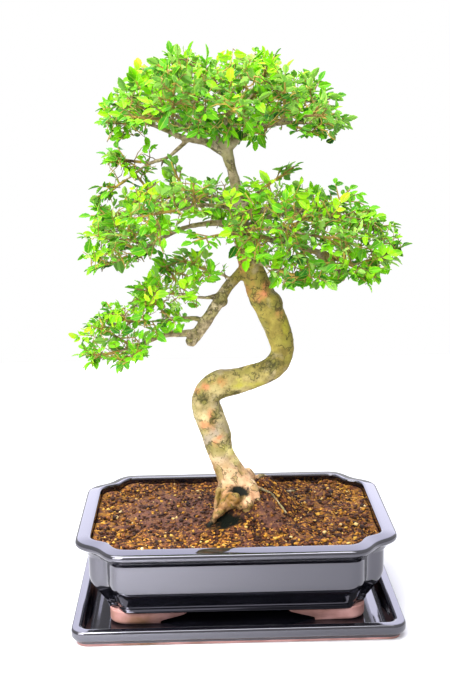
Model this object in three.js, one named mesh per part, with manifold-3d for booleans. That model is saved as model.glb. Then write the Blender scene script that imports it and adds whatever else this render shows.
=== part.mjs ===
// Chinese elm bonsai with an S-bent trunk, in a notched rectangular pot on a drip tray.
// Millimetres, +Z up, +X to the right and +Y away from the front of the pot.
// The origin lies under the middle of the drip tray, on the surface that it stands on.
import * as THREE from 'three';
import { mergeVertices } from 'three/addons/utils/BufferGeometryUtils.js';
import Module from 'manifold-3d';

const wasm = await Module();
wasm.setup();

// Clearance between pieces that touch
const GAP = 0.3;

// Drip tray
const TRAY_LENGTH = 304;
const TRAY_WIDTH = 237;
const TRAY_FLOOR = 5.7;
const TRAY_CORNER = 13;

// Pot: the rim is measured over its flat lip
const POT_LENGTH = 300;
const POT_WIDTH = 218;
const POT_FOOT = TRAY_FLOOR + GAP;
const POT_UNDERSIDE = 18;
const POT_FLOOR = 22;
const RIM_TOP = 85;
const FOOT_WALL = 12;
const FOOT_CORNER = 14;
const BASE_BELLY = 8;
const NOTCH_SHOULDER = 1.2;
const DRAIN_SPACING = 140;
const DRAIN_DIAMETER = 18;
const DRAIN_SIDES = 12;

// Plastic mesh squares over the drainage holes
const MESH_SIDE = 33;
const MESH_THICKNESS = 1.2;
const MESH_BAR = 3;
const MESH_CELLS = 3;

// Soil surface, the mound that it makes against the right of the trunk, and the wide heap
// around the tree's foot
const SOIL_LEVEL = 78;
const MOUND = { x: 32, y: 13, height: 29, spreadX: 19, spreadY: 20 };
const HEAP = { x: 10, y: -20, height: 18, spread: 25 };
const SOIL_CLEARANCE = 0.4;

// Sides of the wood's round solids
const TRUNK_SIDES = 8;
const ROOT_SIDES = 5;

// Foliage
const LEAF_LENGTH = 14;
const LEAF_WIDTH_RATIO = 0.55;
const LEAF_THICKNESS = 0.7;
const TWIG_SIDES = 3;
const MAIN_TWIG_RADII = [1.4, 1.1, 0.8];
const SIDE_TWIG_RADII = [0.65, 0.7];
const GROWTH_SEED = 4711;

const UP = new THREE.Vector3(0, 0, 1);
const part = new THREE.Group();

const finish = {
  glaze: new THREE.MeshStandardMaterial({ color: '#15161a', roughness: 0.08, metalness: 0 }),
  soil: new THREE.MeshStandardMaterial({ color: '#5b3a2a', roughness: 0.95, metalness: 0 }),
  bark: new THREE.MeshStandardMaterial({ color: '#a8925c', roughness: 0.8, metalness: 0 }),
  leaf: new THREE.MeshStandardMaterial({ color: '#5f9a1c', roughness: 0.5, metalness: 0 }),
  plastic: new THREE.MeshStandardMaterial({ color: '#26382b', roughness: 0.5, metalness: 0 }),
};

// Adds a finished geometry to the part as a named piece
function addPiece(name, geometry, material) {
  const piece = new THREE.Mesh(geometry, material);
  piece.name = name;
  part.add(piece);
}

// Turns a closed geometry into a solid that can be joined and cut
function solidOf(geometry) {
  const bare = new THREE.BufferGeometry();
  bare.setAttribute('position', geometry.getAttribute('position'));
  bare.setIndex(geometry.getIndex());
  const merged = mergeVertices(bare, 1e-4);
  return new wasm.Manifold(new wasm.Mesh({
    numProp: 3,
    vertProperties: new Float32Array(merged.getAttribute('position').array),
    triVerts: new Uint32Array(merged.getIndex().array),
  }));
}

// Turns a solid back into a geometry, without the slivers that cutting leaves
function geometryOf(solid) {
  const mesh = solid.simplify(0.02).getMesh();
  const geometry = new THREE.BufferGeometry();
  geometry.setAttribute('position', new THREE.BufferAttribute(mesh.vertProperties, 3));
  geometry.setIndex(new THREE.BufferAttribute(mesh.triVerts, 1));
  geometry.computeVertexNormals();
  return geometry;
}

const join = (solids) => solids.reduce((whole, next) => whole.add(next));

// Largest body of a solid, so no loose scrap is left
const largestBody = (solid) => (
  solid.decompose().reduce((best, body) => (body.volume() > best.volume() ? body : best)));

// Closed skin over rings with the same number of points, capped flat at both ends.
// The rings run anticlockwise as seen against the direction that they are stacked in.
function loft(rings, capPlane = (p) => new THREE.Vector2(p.x, p.y)) {
  const count = rings[0].length;
  const positions = rings.flat().flatMap((p) => [p.x, p.y, p.z]);
  const index = [];
  for (let ring = 0; ring < rings.length - 1; ring += 1) {
    for (let i = 0; i < count; i += 1) {
      const a = ring * count + i;
      const b = ring * count + (i + 1) % count;
      index.push(a, b, b + count, a, b + count, a + count);
    }
  }
  const first = THREE.ShapeUtils.triangulateShape(rings[0].map(capPlane), []);
  const last = THREE.ShapeUtils.triangulateShape(rings.at(-1).map(capPlane), []);
  const top = (rings.length - 1) * count;
  first.forEach(([a, b, c]) => index.push(c, b, a));
  last.forEach(([a, b, c]) => index.push(top + a, top + b, top + c));
  const geometry = new THREE.BufferGeometry();
  geometry.setAttribute('position', new THREE.Float32BufferAttribute(positions, 3));
  geometry.setIndex(index);
  return geometry;
}

// Rounded or notched rectangle at height z, anticlockwise from above.
// The corner at +X +Y is a list of points, as distances inside the two sides.
function rectanglePlan(length, width, inset, z, corner) {
  const a = length / 2 - inset;
  const b = width / 2 - inset;
  const quarter = corner.map(([u, v]) => [a - u, b - v]);
  const backwards = quarter.toReversed();
  const outline = [
    ...quarter,
    ...backwards.map(([x, y]) => [-x, y]),
    ...quarter.map(([x, y]) => [-x, -y]),
    ...backwards.map(([x, y]) => [x, -y]),
  ];
  return outline.map(([x, y]) => new THREE.Vector3(x, y, z));
}

// Corner of a notched pot: a chamfer with a leg on each side, pushed in by indent at its
// middle and out by shoulder beside both ends
function notchedCorner(leg, indent, shoulder) {
  return [0, 0.2, 0.5, 0.8, 1].map((s) => {
    const push = indent * Math.sin(Math.PI * s) ** 2 - shoulder * Math.sin(2 * Math.PI * s) ** 2;
    return [leg * s + push * Math.SQRT1_2, leg * (1 - s) + push * Math.SQRT1_2];
  });
}

// Corner of the tray: a quarter circle
function roundCorner(radius) {
  return [0, 30, 60, 90].map((degrees) => {
    const angle = THREE.MathUtils.degToRad(degrees);
    return [radius * (1 - Math.cos(angle)), radius * (1 - Math.sin(angle))];
  });
}

// Drip tray
function makeTray() {
  // Inset from the outer size and height: base band, side, rim, inner slope, floor
  const profile = [
    [5, 0], [4.4, 2.6], [1.2, 6], [0, 13.5], [1.8, 15.6],
    [8, 15.6], [9.6, 14.2], [16, 6.6], [18, TRAY_FLOOR],
  ];
  return loft(profile.map(([inset, z]) => {
    const radius = Math.max(TRAY_CORNER - inset * 0.5, 4);
    return rectanglePlan(TRAY_LENGTH, TRAY_WIDTH, inset, z, roundCorner(radius));
  }));
}

// Inside of the pot: inset from the rim, height, the leg and indent of its corners, and how
// much further out its front and back stand than its ends
const POT_INSIDE = [
  [16, 81, 28, 4.8, 0],
  [17, SOIL_LEVEL, 28, 4.8, 0],
  [19.5, 46, 28, 4.8, 0],
  [30, 25, 25, 4, 5],
  [37, POT_FLOOR, 22, 3.5, 6],
];

const potRing = ([inset, z, leg, indent, belly]) => (
  rectanglePlan(POT_LENGTH, POT_WIDTH + 2 * belly, inset, z,
    notchedCorner(leg, indent, NOTCH_SHOULDER)));

// One bracket foot under the corner at +X +Y: an L in plan that shortens downwards
function makeFoot() {
  // Inset, height, length along the long side and along the short side
  const profile = [
    [33.4, POT_FOOT, 45, 42], [32.2, POT_FOOT + 2, 49, 46],
    [31.4, 14, 63, 58], [31.4, POT_UNDERSIDE + 1, 72, 66],
  ];
  return loft(profile.map(([inset, z, along, across]) => {
    const a = POT_LENGTH / 2 - inset;
    const b = POT_WIDTH / 2 + BASE_BELLY - inset;
    const outline = [
      [a, b - across],
      ...roundCorner(FOOT_CORNER).map(([u, v]) => [a - u, b - v]),
      [a - along, b],
      [a - along, b - FOOT_WALL],
      [a - 28, b - FOOT_WALL],
      [a - FOOT_WALL - 4, b - 24],
      [a - FOOT_WALL, b - across],
    ];
    return outline.map(([x, y]) => new THREE.Vector3(x, y, z));
  }));
}

// Pot: one fired piece with its lip, its wall, its feet and its drainage holes
function makePot() {
  // Outside of the pot in the same columns: base ridge, belly, wall, slanting edge and lip
  const outside = [
    [29.4, POT_UNDERSIDE, 18, 1.5, BASE_BELLY], [28.4, 22.5, 18, 1.5, BASE_BELLY],
    [25, 27.5, 20, 3, 6.5], [20, 33, 24, 4, 4.5], [15.6, 39, 27, 4.8, 2.5],
    [12.2, 48, 28, 5, 0], [12, 67.9, 28, 5, 0], [7.5, 73, 33, 3.5, 0],
    [0.8, 77.2, 38, 1.8, 0], [0, 81, 39, 1.2, 0], [2.6, 83.4, 37.4, 1.8, 0],
    [12.6, RIM_TOP, 30.5, 4.2, 0], [14.8, 83.8, 29, 4.7, 0],
  ];
  const rings = [...outside, ...POT_INSIDE].map(potRing);
  const foot = solidOf(makeFoot());
  const feet = [[0, 0], [1, 0], [1, 1], [0, 1]].map(([flipX, flipY]) => {
    let copy = foot;
    if (flipX) copy = copy.mirror([1, 0, 0]);
    if (flipY) copy = copy.mirror([0, 1, 0]);
    return copy;
  });
  const holes = [-1, 1].map((side) => {
    const radius = DRAIN_DIAMETER / 2;
    const drill = new THREE.CylinderGeometry(radius, radius, 20, DRAIN_SIDES);
    drill.rotateX(Math.PI / 2);
    drill.translate(side * DRAIN_SPACING / 2, 0, (POT_UNDERSIDE + POT_FLOOR) / 2);
    return solidOf(drill);
  });
  return geometryOf(join([solidOf(loft(rings)), ...feet]).subtract(join(holes)));
}

// Square of drainage mesh, standing on the pot's floor over one hole
function makeDrainageMesh(side) {
  const sheet = solidOf(new THREE.BoxGeometry(MESH_SIDE, MESH_SIDE, MESH_THICKNESS));
  const pitch = (MESH_SIDE - MESH_BAR) / MESH_CELLS;
  const cell = pitch - MESH_BAR;
  const cells = [];
  for (let row = 0; row < MESH_CELLS; row += 1) {
    for (let column = 0; column < MESH_CELLS; column += 1) {
      const x = (column - (MESH_CELLS - 1) / 2) * pitch;
      const y = (row - (MESH_CELLS - 1) / 2) * pitch;
      const opening = new THREE.BoxGeometry(cell, cell, 2 * MESH_THICKNESS);
      cells.push(solidOf(opening.translate(x, y, 0)));
    }
  }
  const height = POT_FLOOR + GAP + MESH_THICKNESS / 2;
  return geometryOf(sheet.subtract(join(cells)).translate([side * DRAIN_SPACING / 2, 0, height]));
}

// Height of the soil's surface: the mound, the heap, the hollow in front of the roots and
// slow waves
function soilHeight(x, y) {
  const fromMound = ((x - MOUND.x) / MOUND.spreadX) ** 2 + ((y - MOUND.y) / MOUND.spreadY) ** 2;
  const fromHeap = ((x - HEAP.x) ** 2 + (y - HEAP.y) ** 2) / HEAP.spread ** 2;
  const heaped = MOUND.height * Math.exp(-fromMound / 2) + HEAP.height * Math.exp(-fromHeap / 2);
  const hollow = 5 * Math.exp(-(((x + 8) / 13) ** 2) - ((y + 38) / 9) ** 2);
  const waves = 0.9 * Math.sin(x / 17 + 1) * Math.cos(y / 13) + 0.6 * Math.sin(x / 7 + y / 9);
  return SOIL_LEVEL + heaped - hollow + waves;
}

// Path through hand-placed points, as a smooth curve
const pathThrough = (points) => (
  new THREE.CatmullRomCurve3(points.map((p) => new THREE.Vector3(...p)), false, 'catmullrom', 0.5));

// Round solid along a curve, with a radius for each of its evenly spaced rings
function sweep(curve, radii, sides) {
  const last = radii.length - 1;
  let normal = null;
  const rings = radii.map((radius, i) => {
    const centre = curve.getPoint(i / last);
    const tangent = curve.getTangent(i / last);
    if (normal === null) {
      normal = Math.abs(tangent.z) < 0.8 ? UP.clone() : new THREE.Vector3(1, 0, 0);
    }
    normal.addScaledVector(tangent, -normal.dot(tangent)).normalize();
    const across = tangent.clone().cross(normal);
    return Array.from({ length: sides }, (_, side) => {
      const angle = 2 * Math.PI * side / sides;
      return centre.clone()
        .addScaledVector(normal, radius * Math.cos(angle))
        .addScaledVector(across, radius * Math.sin(angle));
    });
  });
  // The caps are cut in the plane of a regular polygon with as many corners
  const polygon = rings[0].map((_, side) => {
    const angle = 2 * Math.PI * side / sides;
    return new THREE.Vector2(Math.cos(angle), Math.sin(angle));
  });
  let corner = -1;
  return loft(rings, () => {
    corner = (corner + 1) % sides;
    return polygon[corner];
  });
}

// Radii that fall evenly from start to end
const taper = (start, end, count) => (
  Array.from({ length: count }, (_, i) => THREE.MathUtils.lerp(start, end, i / (count - 1))));

// Trunk: centre line and radius, from its foot in the soil to the fork under the top pad
const TRUNK = [
  [8, -6, 66, 16], [6, -6, 84, 19], [4, -5, 98, 18.5], [2, -4, 110, 16.4], [-5, -2, 126, 14],
  [-12, 0, 143, 12.7], [-16, 2, 159, 14.2], [-22, 4, 176, 14.6], [-26.5, 5, 192, 13.8],
  [-22.5, 5, 203, 13.4], [-12, 4, 210, 13.6], [2, 3, 213, 12.8],
  [22, -2, 219.5, 11.4], [39, -5, 228, 11], [46.5, -5, 238, 10.8], [48, -5, 248, 11],
  [45, -4, 260, 12.2], [40, -2, 274, 12.6], [33, 0, 289, 12.4], [25, 2, 305, 12.2],
  [18, 3, 327, 10.6], [13, 4, 348, 8.8], [9.5, 3, 367, 7.4], [7, 2, 386, 6.3],
  [4.5, 1, 403, 5.6], [1, 0, 418, 5.3], [-3, 0, 433, 5.8],
];

// Roots at the foot of the trunk: points, and a radius for each. Where the third number is
// missing, the root lies on the soil.
const ROOTS = {
  front_left: {
    points: [[-2, -8, 116], [-6, -19, 109], [-5, -25, 103], [-10, -28, 97], [-17, -32, 91],
      [-25, -37, 80]],
    radii: [7, 7, 7.5, 4.5, 3.2, 2],
  },
  front_link: { points: [[-3, -25, 103], [5, -27, 98], [12, -26, 97]], radii: [5, 3.5, 4.5] },
  front_knob: {
    points: [[12, -12, 110], [13, -20, 103], [13, -26, 98], [13, -28, 88]], radii: [7, 6, 6, 4.5],
  },
  right: {
    points: [[7, -6, 120], [13, -10, 114], [17.5, -14, 107], [21, -17, 99], [23, -18, 86]],
    radii: [8.5, 7.2, 6.2, 5, 4],
  },
  back: {
    points: [[2, 2, 106], [-4, 18, 96], [-8, 30, 84], [-10, 38, 68]], radii: [10, 8, 6, 4],
  },
  left: {
    points: [[-6, -4, 118], [-13, -9, 110], [-17, -12, 99], [-19, -14, 76]], radii: [5.5, 3.6, 2.8, 2.2],
  },
  back_right: {
    points: [[20, 12], [30, 18], [40, 26], [50, 40], [64, 58]], radii: [3, 2.6, 2.2, 1.8, 1.5],
  },
};

// Limbs and branchlets: points, radii at both ends, and the leafy sprays that end on them.
// A spray is given by its place along the limb from 0 to 1, its turn to the left of the
// limb's heading and its rise over the horizon in degrees, and its length.
const LIMBS = {
  top_left: {
    points: [[-3, 0, 430], [-20, -2, 440], [-42, -4, 445], [-60, -6, 453], [-73, -8, 458]],
    from: 5.4, to: 1.9,
    sprays: [[1, 8, 2, 32], [0.8, -52, 12, 36], [0.7, 50, 35, 38]],
  },
  top_left_front: {
    points: [[-18, -2, 439], [-32, -20, 448], [-46, -38, 458], [-54, -48, 463]], from: 3.4, to: 1.7,
    sprays: [[1, -22, 4, 36], [0.82, 40, 42, 36]],
  },
  top_left_back: {
    points: [[-18, -2, 439], [-34, 20, 452], [-50, 38, 464], [-58, 46, 470]], from: 3.4, to: 1.7,
    sprays: [[1, 30, 8, 36], [0.8, -35, 30, 34]],
  },
  top_left_leader: {
    points: [[-6, 0, 434], [-18, 3, 452], [-28, 3, 468], [-35, 2, 480]], from: 4, to: 1.7,
    sprays: [[1, 20, 52, 34], [0.86, -110, 48, 34]],
  },
  top_right_leader: {
    points: [[-3, 0, 430], [4, 2, 450], [14, 4, 468], [20, 4, 480]], from: 4.4, to: 1.7,
    sprays: [[1, -10, 56, 34], [0.84, 95, 50, 34], [0.8, -70, 28, 34]],
  },
  top_right: {
    points: [[-3, 0, 432], [14, 2, 447], [34, 2, 454], [54, 0, 457], [70, -2, 456]], from: 4.4, to: 1.7,
    sprays: [[1, -4, -2, 28], [0.84, 48, 30, 36], [0.72, -50, -12, 34]],
  },
  top_right_front: {
    points: [[14, 2, 447], [28, -18, 453], [42, -36, 460], [50, -46, 463]], from: 3, to: 1.7,
    sprays: [[1, 25, 4, 36], [0.8, -36, 36, 34]],
  },
  top_right_back: {
    points: [[14, 2, 447], [30, 22, 455], [46, 38, 465], [54, 46, 470]], from: 3, to: 1.7,
    sprays: [[1, -25, 10, 36]],
  },
  top_front: {
    points: [[-2, 0, 440], [-3, -18, 450], [-4, -36, 460], [-4, -46, 464]], from: 3.2, to: 1.7,
    sprays: [[1, 6, 16, 34]],
  },
  under_left: {
    points: [[-38, -4, 443], [-47, -4, 435], [-58, -6, 427], [-74, -8, 422], [-90, -8, 411]],
    from: 2.8, to: 1.6,
    sprays: [[1, -10, -32, 28], [0.72, -12, 6, 32]],
  },
  mid_left_high: {
    points: [[7, 2, 385], [-12, -3, 389], [-34, -6, 389], [-58, -6, 385], [-80, -6, 379]],
    from: 4.2, to: 1.8,
    sprays: [[1, 6, -4, 40], [0.8, -35, 40, 36], [0.52, 20, 55, 30]],
  },
  mid_left_low: {
    points: [[9, 3, 364], [-14, 2, 366], [-40, 0, 363], [-60, -2, 355], [-78, -4, 346], [-90, -4, 340]],
    from: 4.2, to: 1.7,
    sprays: [[1, 4, -24, 34], [0.9, -45, 8, 42], [0.78, 45, 16, 38]],
  },
  mid_left_front: {
    points: [[7, 2, 378], [-10, -20, 384], [-28, -40, 387], [-44, -52, 385]], from: 3.4, to: 1.7,
    sprays: [[1, -18, -6, 38], [0.74, 46, 24, 36]],
  },
  mid_left_back: {
    points: [[7, 2, 378], [-12, 26, 384], [-34, 44, 386], [-50, 54, 385]], from: 3.4, to: 1.7,
    sprays: [[1, 20, -2, 38]],
  },
  mid_right_high: {
    points: [[9, 3, 370], [30, 2, 377], [54, 0, 378], [80, -2, 373], [100, -4, 366]], from: 4.2, to: 1.8,
    sprays: [[1, 4, -10, 40], [0.84, -50, 4, 38], [0.76, 46, 20, 38]],
  },
  mid_right_low: {
    points: [[13, 4, 347], [34, 4, 350], [58, 2, 345], [84, 0, 336], [104, -2, 329], [116, -4, 326]],
    from: 4.8, to: 1.7,
    sprays: [[1, 0, 14, 36], [0.86, 42, 24, 38], [0.78, -44, -14, 36]],
  },
  cut_stub: {
    points: [[84, 0, 336], [95, -6, 324], [104, -10, 313]], from: 4.8, to: 4.2, sprays: [],
  },
  mid_right_front: {
    points: [[10, 3, 358], [28, -20, 363], [48, -38, 364], [64, -50, 361]], from: 3.6, to: 1.7,
    sprays: [[1, 18, -8, 38], [0.72, -40, 20, 36]],
  },
  mid_right_back: {
    points: [[10, 3, 358], [30, 26, 366], [52, 44, 368], [68, 54, 366]], from: 3.6, to: 1.7,
    sprays: [[1, -18, 0, 38]],
  },
  mid_crown: {
    points: [[8, 2, 374], [16, -6, 386], [24, -12, 394]], from: 3, to: 1.7,
    sprays: [[1, 20, 36, 34]],
  },
  mid_back: {
    points: [[10, 3, 358], [12, 24, 366], [15, 42, 372], [18, 52, 375]], from: 3.4, to: 1.7,
    sprays: [[1, 6, 8, 38]],
  },
  mid_front: {
    points: [[12, 4, 352], [10, -16, 358], [4, -36, 362], [-2, -48, 362]], from: 3.4, to: 1.7,
    sprays: [[1, -22, 2, 36], [0.8, 50, 10, 34]],
  },
  mid_low: {
    points: [[17, 3, 330], [26, -14, 330], [38, -26, 327]], from: 2.8, to: 1.6,
    sprays: [[1, 10, -14, 36]],
  },
  low_left: {
    points: [
      [18, 3, 327], [8, 2, 317], [-3, 0, 306], [-16, -2, 286], [-25, -3, 273],
      [-33, -4, 262], [-40, -5, 253]],
    from: 5.6, to: 5.2, sprays: [],
  },
  low_left_branch: {
    points: [
      [-30, -4, 264], [-46, -5, 263], [-62, -6, 262], [-78, -7, 257], [-90, -8, 252],
      [-99, -9, 249]],
    from: 4.6, to: 1.7, sprays: [[1, 0, -10, 34], [0.84, -40, 18, 38], [0.6, 52, -22, 36]],
  },
  low_left_rear: {
    points: [[-24, -3, 274], [-40, 4, 276], [-58, 10, 273], [-76, 14, 271]], from: 2.6, to: 1.6,
    sprays: [[1, 6, -2, 38], [0.7, -30, 42, 34]],
  },
  low_left_high: {
    points: [[-8, 0, 299], [-22, -6, 297], [-36, -10, 299], [-46, -12, 302]], from: 2.9, to: 1.7,
    sprays: [[1, 4, 6, 36], [0.72, -30, 44, 34]],
  },
  low_left_top: {
    points: [[3, 1, 312], [-8, -4, 318], [-18, -8, 322]], from: 2.2, to: 1.6,
    sprays: [[1, -16, 20, 30]],
  },
  top_back: {
    points: [[-2, 0, 440], [-2, 18, 451], [0, 36, 462], [2, 46, 467]], from: 3.2, to: 1.7,
    sprays: [[1, 4, 14, 36]],
  },
  mid_back_low: {
    points: [[14, 4, 342], [22, 22, 346], [32, 40, 346], [38, 50, 344]], from: 3, to: 1.7,
    sprays: [[1, 12, -10, 38]],
  },
};

// Repeatable draw between 0 and 1, given by whole numbers
function draw(...keys) {
  let hash = GROWTH_SEED;
  for (const key of keys) {
    hash = Math.imul(hash ^ key, 0x9e3779b1);
    hash ^= hash >>> 15;
    hash = Math.imul(hash, 0x85ebca6b);
    hash ^= hash >>> 13;
  }
  return (hash >>> 0) / 2 ** 32;
}

// Direction with a turn about the vertical and a rise over the horizon, in degrees
function turned(heading, turn, rise) {
  const level = new THREE.Vector3(heading.x, heading.y, 0).normalize();
  level.applyAxisAngle(UP, THREE.MathUtils.degToRad(turn));
  const angle = THREE.MathUtils.degToRad(rise);
  return level.multiplyScalar(Math.cos(angle)).addScaledVector(UP, Math.sin(angle));
}

// Where each spray begins and heads: at the end of its limb, which turns into it, or at
// the end of a short branchlet on the limb's side
const BRANCHLET = { length: 8, radius: 1.5 };
function sprayMounts() {
  const mounts = [];
  for (const [limb, { points, from, to, sprays }] of Object.entries(LIMBS)) {
    const curve = pathThrough(points);
    sprays.forEach(([place, turn, rise, length], order) => {
      const root = curve.getPoint(place);
      const heading = turned(curve.getTangent(place), turn, rise);
      const radius = THREE.MathUtils.lerp(from, to, place);
      const reach = place === 1 ? BRANCHLET.length : BRANCHLET.length + radius;
      mounts.push({
        limb,
        atTip: place === 1,
        name: `spray_${limb}_${order + 1}`,
        number: mounts.length,
        root,
        end: root.clone().addScaledVector(heading, reach),
        heading,
        length,
      });
    });
  }
  return mounts;
}

// Leaf blade: a toothed outline that arches from a pointed root sunk in the twig to a
// pointed tip. Columns are the share of the length and the share of the half width.
const LEAF_OUTLINE = [[0.3, 0.88], [0.46, 0.8], [0.66, 1]];
const LEAF_SINK = 0.25;
const LEAF_ARCH = 0.14;
function leafBlade({ base, heading, normal, length }, grow = 0) {
  const across = normal.clone().cross(heading).normalize();
  const face = heading.clone().cross(across).normalize();
  const half = length * LEAF_WIDTH_RATIO / 2 + grow;
  const thickness = LEAF_THICKNESS / 2 + grow;
  const at = (s, w, t) => base.clone()
    .addScaledVector(heading, s)
    .addScaledVector(across, w)
    .addScaledVector(face, t - LEAF_ARCH * s * s / length);
  const points = [at(-LEAF_SINK, 0, 0)];
  for (const [s, w] of LEAF_OUTLINE) {
    const edges = [[1, 1], [-1, 1], [-1, -1], [1, -1]];
    edges.forEach(([side, skin]) => points.push(at(s * length, side * w * half, skin * thickness)));
  }
  points.push(at(length + grow, 0, 0));
  const tip = points.length - 1;
  const index = [];
  for (let i = 0; i < 4; i += 1) {
    const next = (i + 1) % 4;
    index.push(0, 1 + next, 1 + i);
    for (let column = 0; column < LEAF_OUTLINE.length - 1; column += 1) {
      const a = 1 + 4 * column + i;
      const b = 1 + 4 * column + next;
      index.push(a, b + 4, a + 4, a, b, b + 4);
    }
    index.push(tip, tip - 4 + i, tip - 4 + next);
  }
  const geometry = new THREE.BufferGeometry();
  const positions = points.flatMap((p) => [p.x, p.y, p.z]);
  geometry.setAttribute('position', new THREE.Float32BufferAttribute(positions, 3));
  geometry.setIndex(index);
  return solidOf(geometry);
}

// Frame of a spray: its heading, the level direction to its left, and its upper side,
// rolled a little so that the sprays of a pad don't lie alike
function sprayFrame({ number, heading }) {
  const left = UP.clone().cross(heading).normalize();
  const upper = heading.clone().cross(left).normalize();
  const roll = (draw(number, 1) - 0.5) * 1.1;
  left.applyAxisAngle(heading, roll);
  upper.applyAxisAngle(heading, roll);
  return { heading, left, upper };
}

// Main twig of a spray: it bends upwards or droops along its length
function mainTwig(mount) {
  const { heading, left, upper } = sprayFrame(mount);
  const start = mount.end.clone().addScaledVector(heading, GAP);
  const lift = (draw(mount.number, 2) - 0.4) * 0.3;
  const drift = (draw(mount.number, 3) - 0.5) * 0.3;
  const point = (t) => start.clone()
    .addScaledVector(heading, mount.length * t)
    .addScaledVector(upper, mount.length * lift * t * t)
    .addScaledVector(left, mount.length * drift * t * t);
  return { start, point };
}

// Side twig of a spray, alternately to its left and right
const SIDE_TWIGS = [1, 2];
function sideTwig(mount, order) {
  const { heading, left, upper } = sprayFrame(mount);
  const { number, length } = mount;
  const place = 0.14 + 0.13 * order + 0.03 * draw(number, 10, order);
  const side = order % 2 ? 1 : -1;
  const angle = 0.75 + 0.3 * draw(number, 11, order);
  const rise = 0.5 * (draw(number, 12, order) - 0.3);
  const direction = heading.clone().multiplyScalar(Math.cos(angle))
    .addScaledVector(left, side * Math.sin(angle))
    .addScaledVector(upper, rise)
    .normalize();
  const reach = length * (0.62 - 0.3 * place) * (0.8 + 0.4 * draw(number, 13, order));
  return { start: mainTwig(mount).point(place), direction, reach };
}

// Leaf on a twig that starts at base and heads along direction, turned off by angle
function leafOn(mount, twig, order, base, direction, angle) {
  const { upper } = sprayFrame(mount);
  const { number } = mount;
  const side = order % 2 ? 1 : -1;
  const tilt = new THREE.Vector3(
    draw(number, 20, twig, order) - 0.5,
    draw(number, 21, twig, order) - 0.5,
    draw(number, 22, twig, order) - 0.5,
  );
  const normal = upper.clone().addScaledVector(tilt, 1.1).normalize();
  const sideways = normal.clone().cross(direction).normalize();
  const heading = direction.clone().multiplyScalar(Math.cos(angle))
    .addScaledVector(sideways, side * Math.sin(angle))
    .normalize();
  normal.addScaledVector(heading, -normal.dot(heading)).normalize();
  const length = LEAF_LENGTH * (0.8 + 0.5 * draw(number, 23, twig, order));
  return { base, heading, normal, length };
}

const line = (start, end) => new THREE.LineCurve3(start, end);
const touches = (solid, others) => others.some((other) => {
  const a = solid.boundingBox();
  const b = other.boundingBox();
  const apart = [0, 1, 2].some((axis) => a.max[axis] < b.min[axis] || b.max[axis] < a.min[axis]);
  return !apart && !solid.intersect(other).isEmpty();
});

// Leafy sprays: each is a main twig, two side twigs and their leaves. A side twig or leaf
// that would touch a limb or another spray is left out, and so is a leaf that would cross
// another leaf of its own.
function makeSprays(mounts, wood) {
  const sprays = mounts.map((mount) => {
    const main = mainTwig(mount);
    const curve = pathThrough([0, 0.5, 1].map((t) => main.point(t).toArray()));
    const twigs = [solidOf(sweep(curve, MAIN_TWIG_RADII, TWIG_SIDES))];
    return { mount, main, twigs, leaves: [], wanted: [] };
  });
  const solidsBut = (spray) => [wood, ...sprays.filter((other) => other !== spray)
    .flatMap((other) => [...other.twigs, ...other.leaves])];
  for (const spray of sprays) {
    const { mount, main } = spray;
    const last = main.point(1);
    const end = last.clone().sub(main.point(0.8)).normalize();
    spray.wanted.push(leafOn(mount, 0, 0, last, end, 0.15));
    spray.wanted.push(leafOn(mount, 0, 1, main.point(0.75), end, 0.9));
    for (const order of SIDE_TWIGS) {
      const { start, direction, reach } = sideTwig(mount, order);
      const tip = start.clone().addScaledVector(direction, reach);
      const twig = solidOf(sweep(line(start, tip), SIDE_TWIG_RADII, TWIG_SIDES));
      const clearance = solidOf(sweep(line(start, tip), [1.3, 1], TWIG_SIDES));
      if (!touches(clearance, solidsBut(spray))) {
        spray.twigs.push(twig);
        spray.wanted.push(leafOn(mount, order, 0, tip, direction, 0.15));
        const middle = start.clone().addScaledVector(direction, reach * 0.62);
        if (order === SIDE_TWIGS[0] && mount.number % 5 < 2) {
          spray.wanted.push(leafOn(mount, order, 1, middle, direction, 0.9));
        }
      }
    }
  }
  for (const spray of sprays) {
    for (const leaf of spray.wanted) {
      const clearance = leafBlade(leaf, 0.35);
      if (!touches(clearance, solidsBut(spray)) && !touches(clearance, spray.leaves)) {
        spray.leaves.push(leafBlade(leaf));
      }
    }
  }
  return sprays;
}

// Roots, grown by extra on every side and past their ends
function rootSolids(extra) {
  return Object.values(ROOTS).map(({ points, radii }) => {
    const placed = points.map(([x, y, z], i) => (
      new THREE.Vector3(x, y, z ?? soilHeight(x, y) + 0.4 * radii[i])));
    const last = placed.at(-1);
    last.add(last.clone().sub(placed.at(-2)).setLength(extra));
    const path = pathThrough(placed.map((p) => p.toArray()));
    return solidOf(sweep(path, radii.map((radius) => radius + extra), ROOT_SIDES));
  });
}

// Trunk along its centre line, grown by extra on every side and past its foot
function trunkSolid(points, extra) {
  const [[x, y, z, radius], ...rest] = points;
  const centres = [[x, y, z - extra, radius], ...rest];
  const curve = pathThrough(centres.map((p) => p.slice(0, 3)));
  return solidOf(sweep(curve, centres.map((p) => p[3] + extra), TRUNK_SIDES));
}

// Limb: its last ring faces the spray at its tip, where it has one
function limbSolid([limb, { points, from, to }], mounts) {
  const tipSpray = mounts.find((mount) => mount.limb === limb && mount.atTip);
  const path = tipSpray ? [...points, tipSpray.end.toArray()] : points;
  return solidOf(sweep(pathThrough(path), taper(from, to, path.length), from > 4.5 ? 5 : 4));
}

// Trunk and branches: roots, trunk, limbs and the branchlets under the sprays, as grown
function makeWood(mounts) {
  const limbs = Object.entries(LIMBS).map((entry) => limbSolid(entry, mounts));
  const branchlets = mounts.filter((mount) => !mount.atTip).map(({ root, end }) => (
    solidOf(sweep(line(root, end), [BRANCHLET.radius, BRANCHLET.radius], 3))));
  return largestBody(join([trunkSolid(TRUNK, 0), ...rootSolids(0), ...limbs, ...branchlets]));
}

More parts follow.
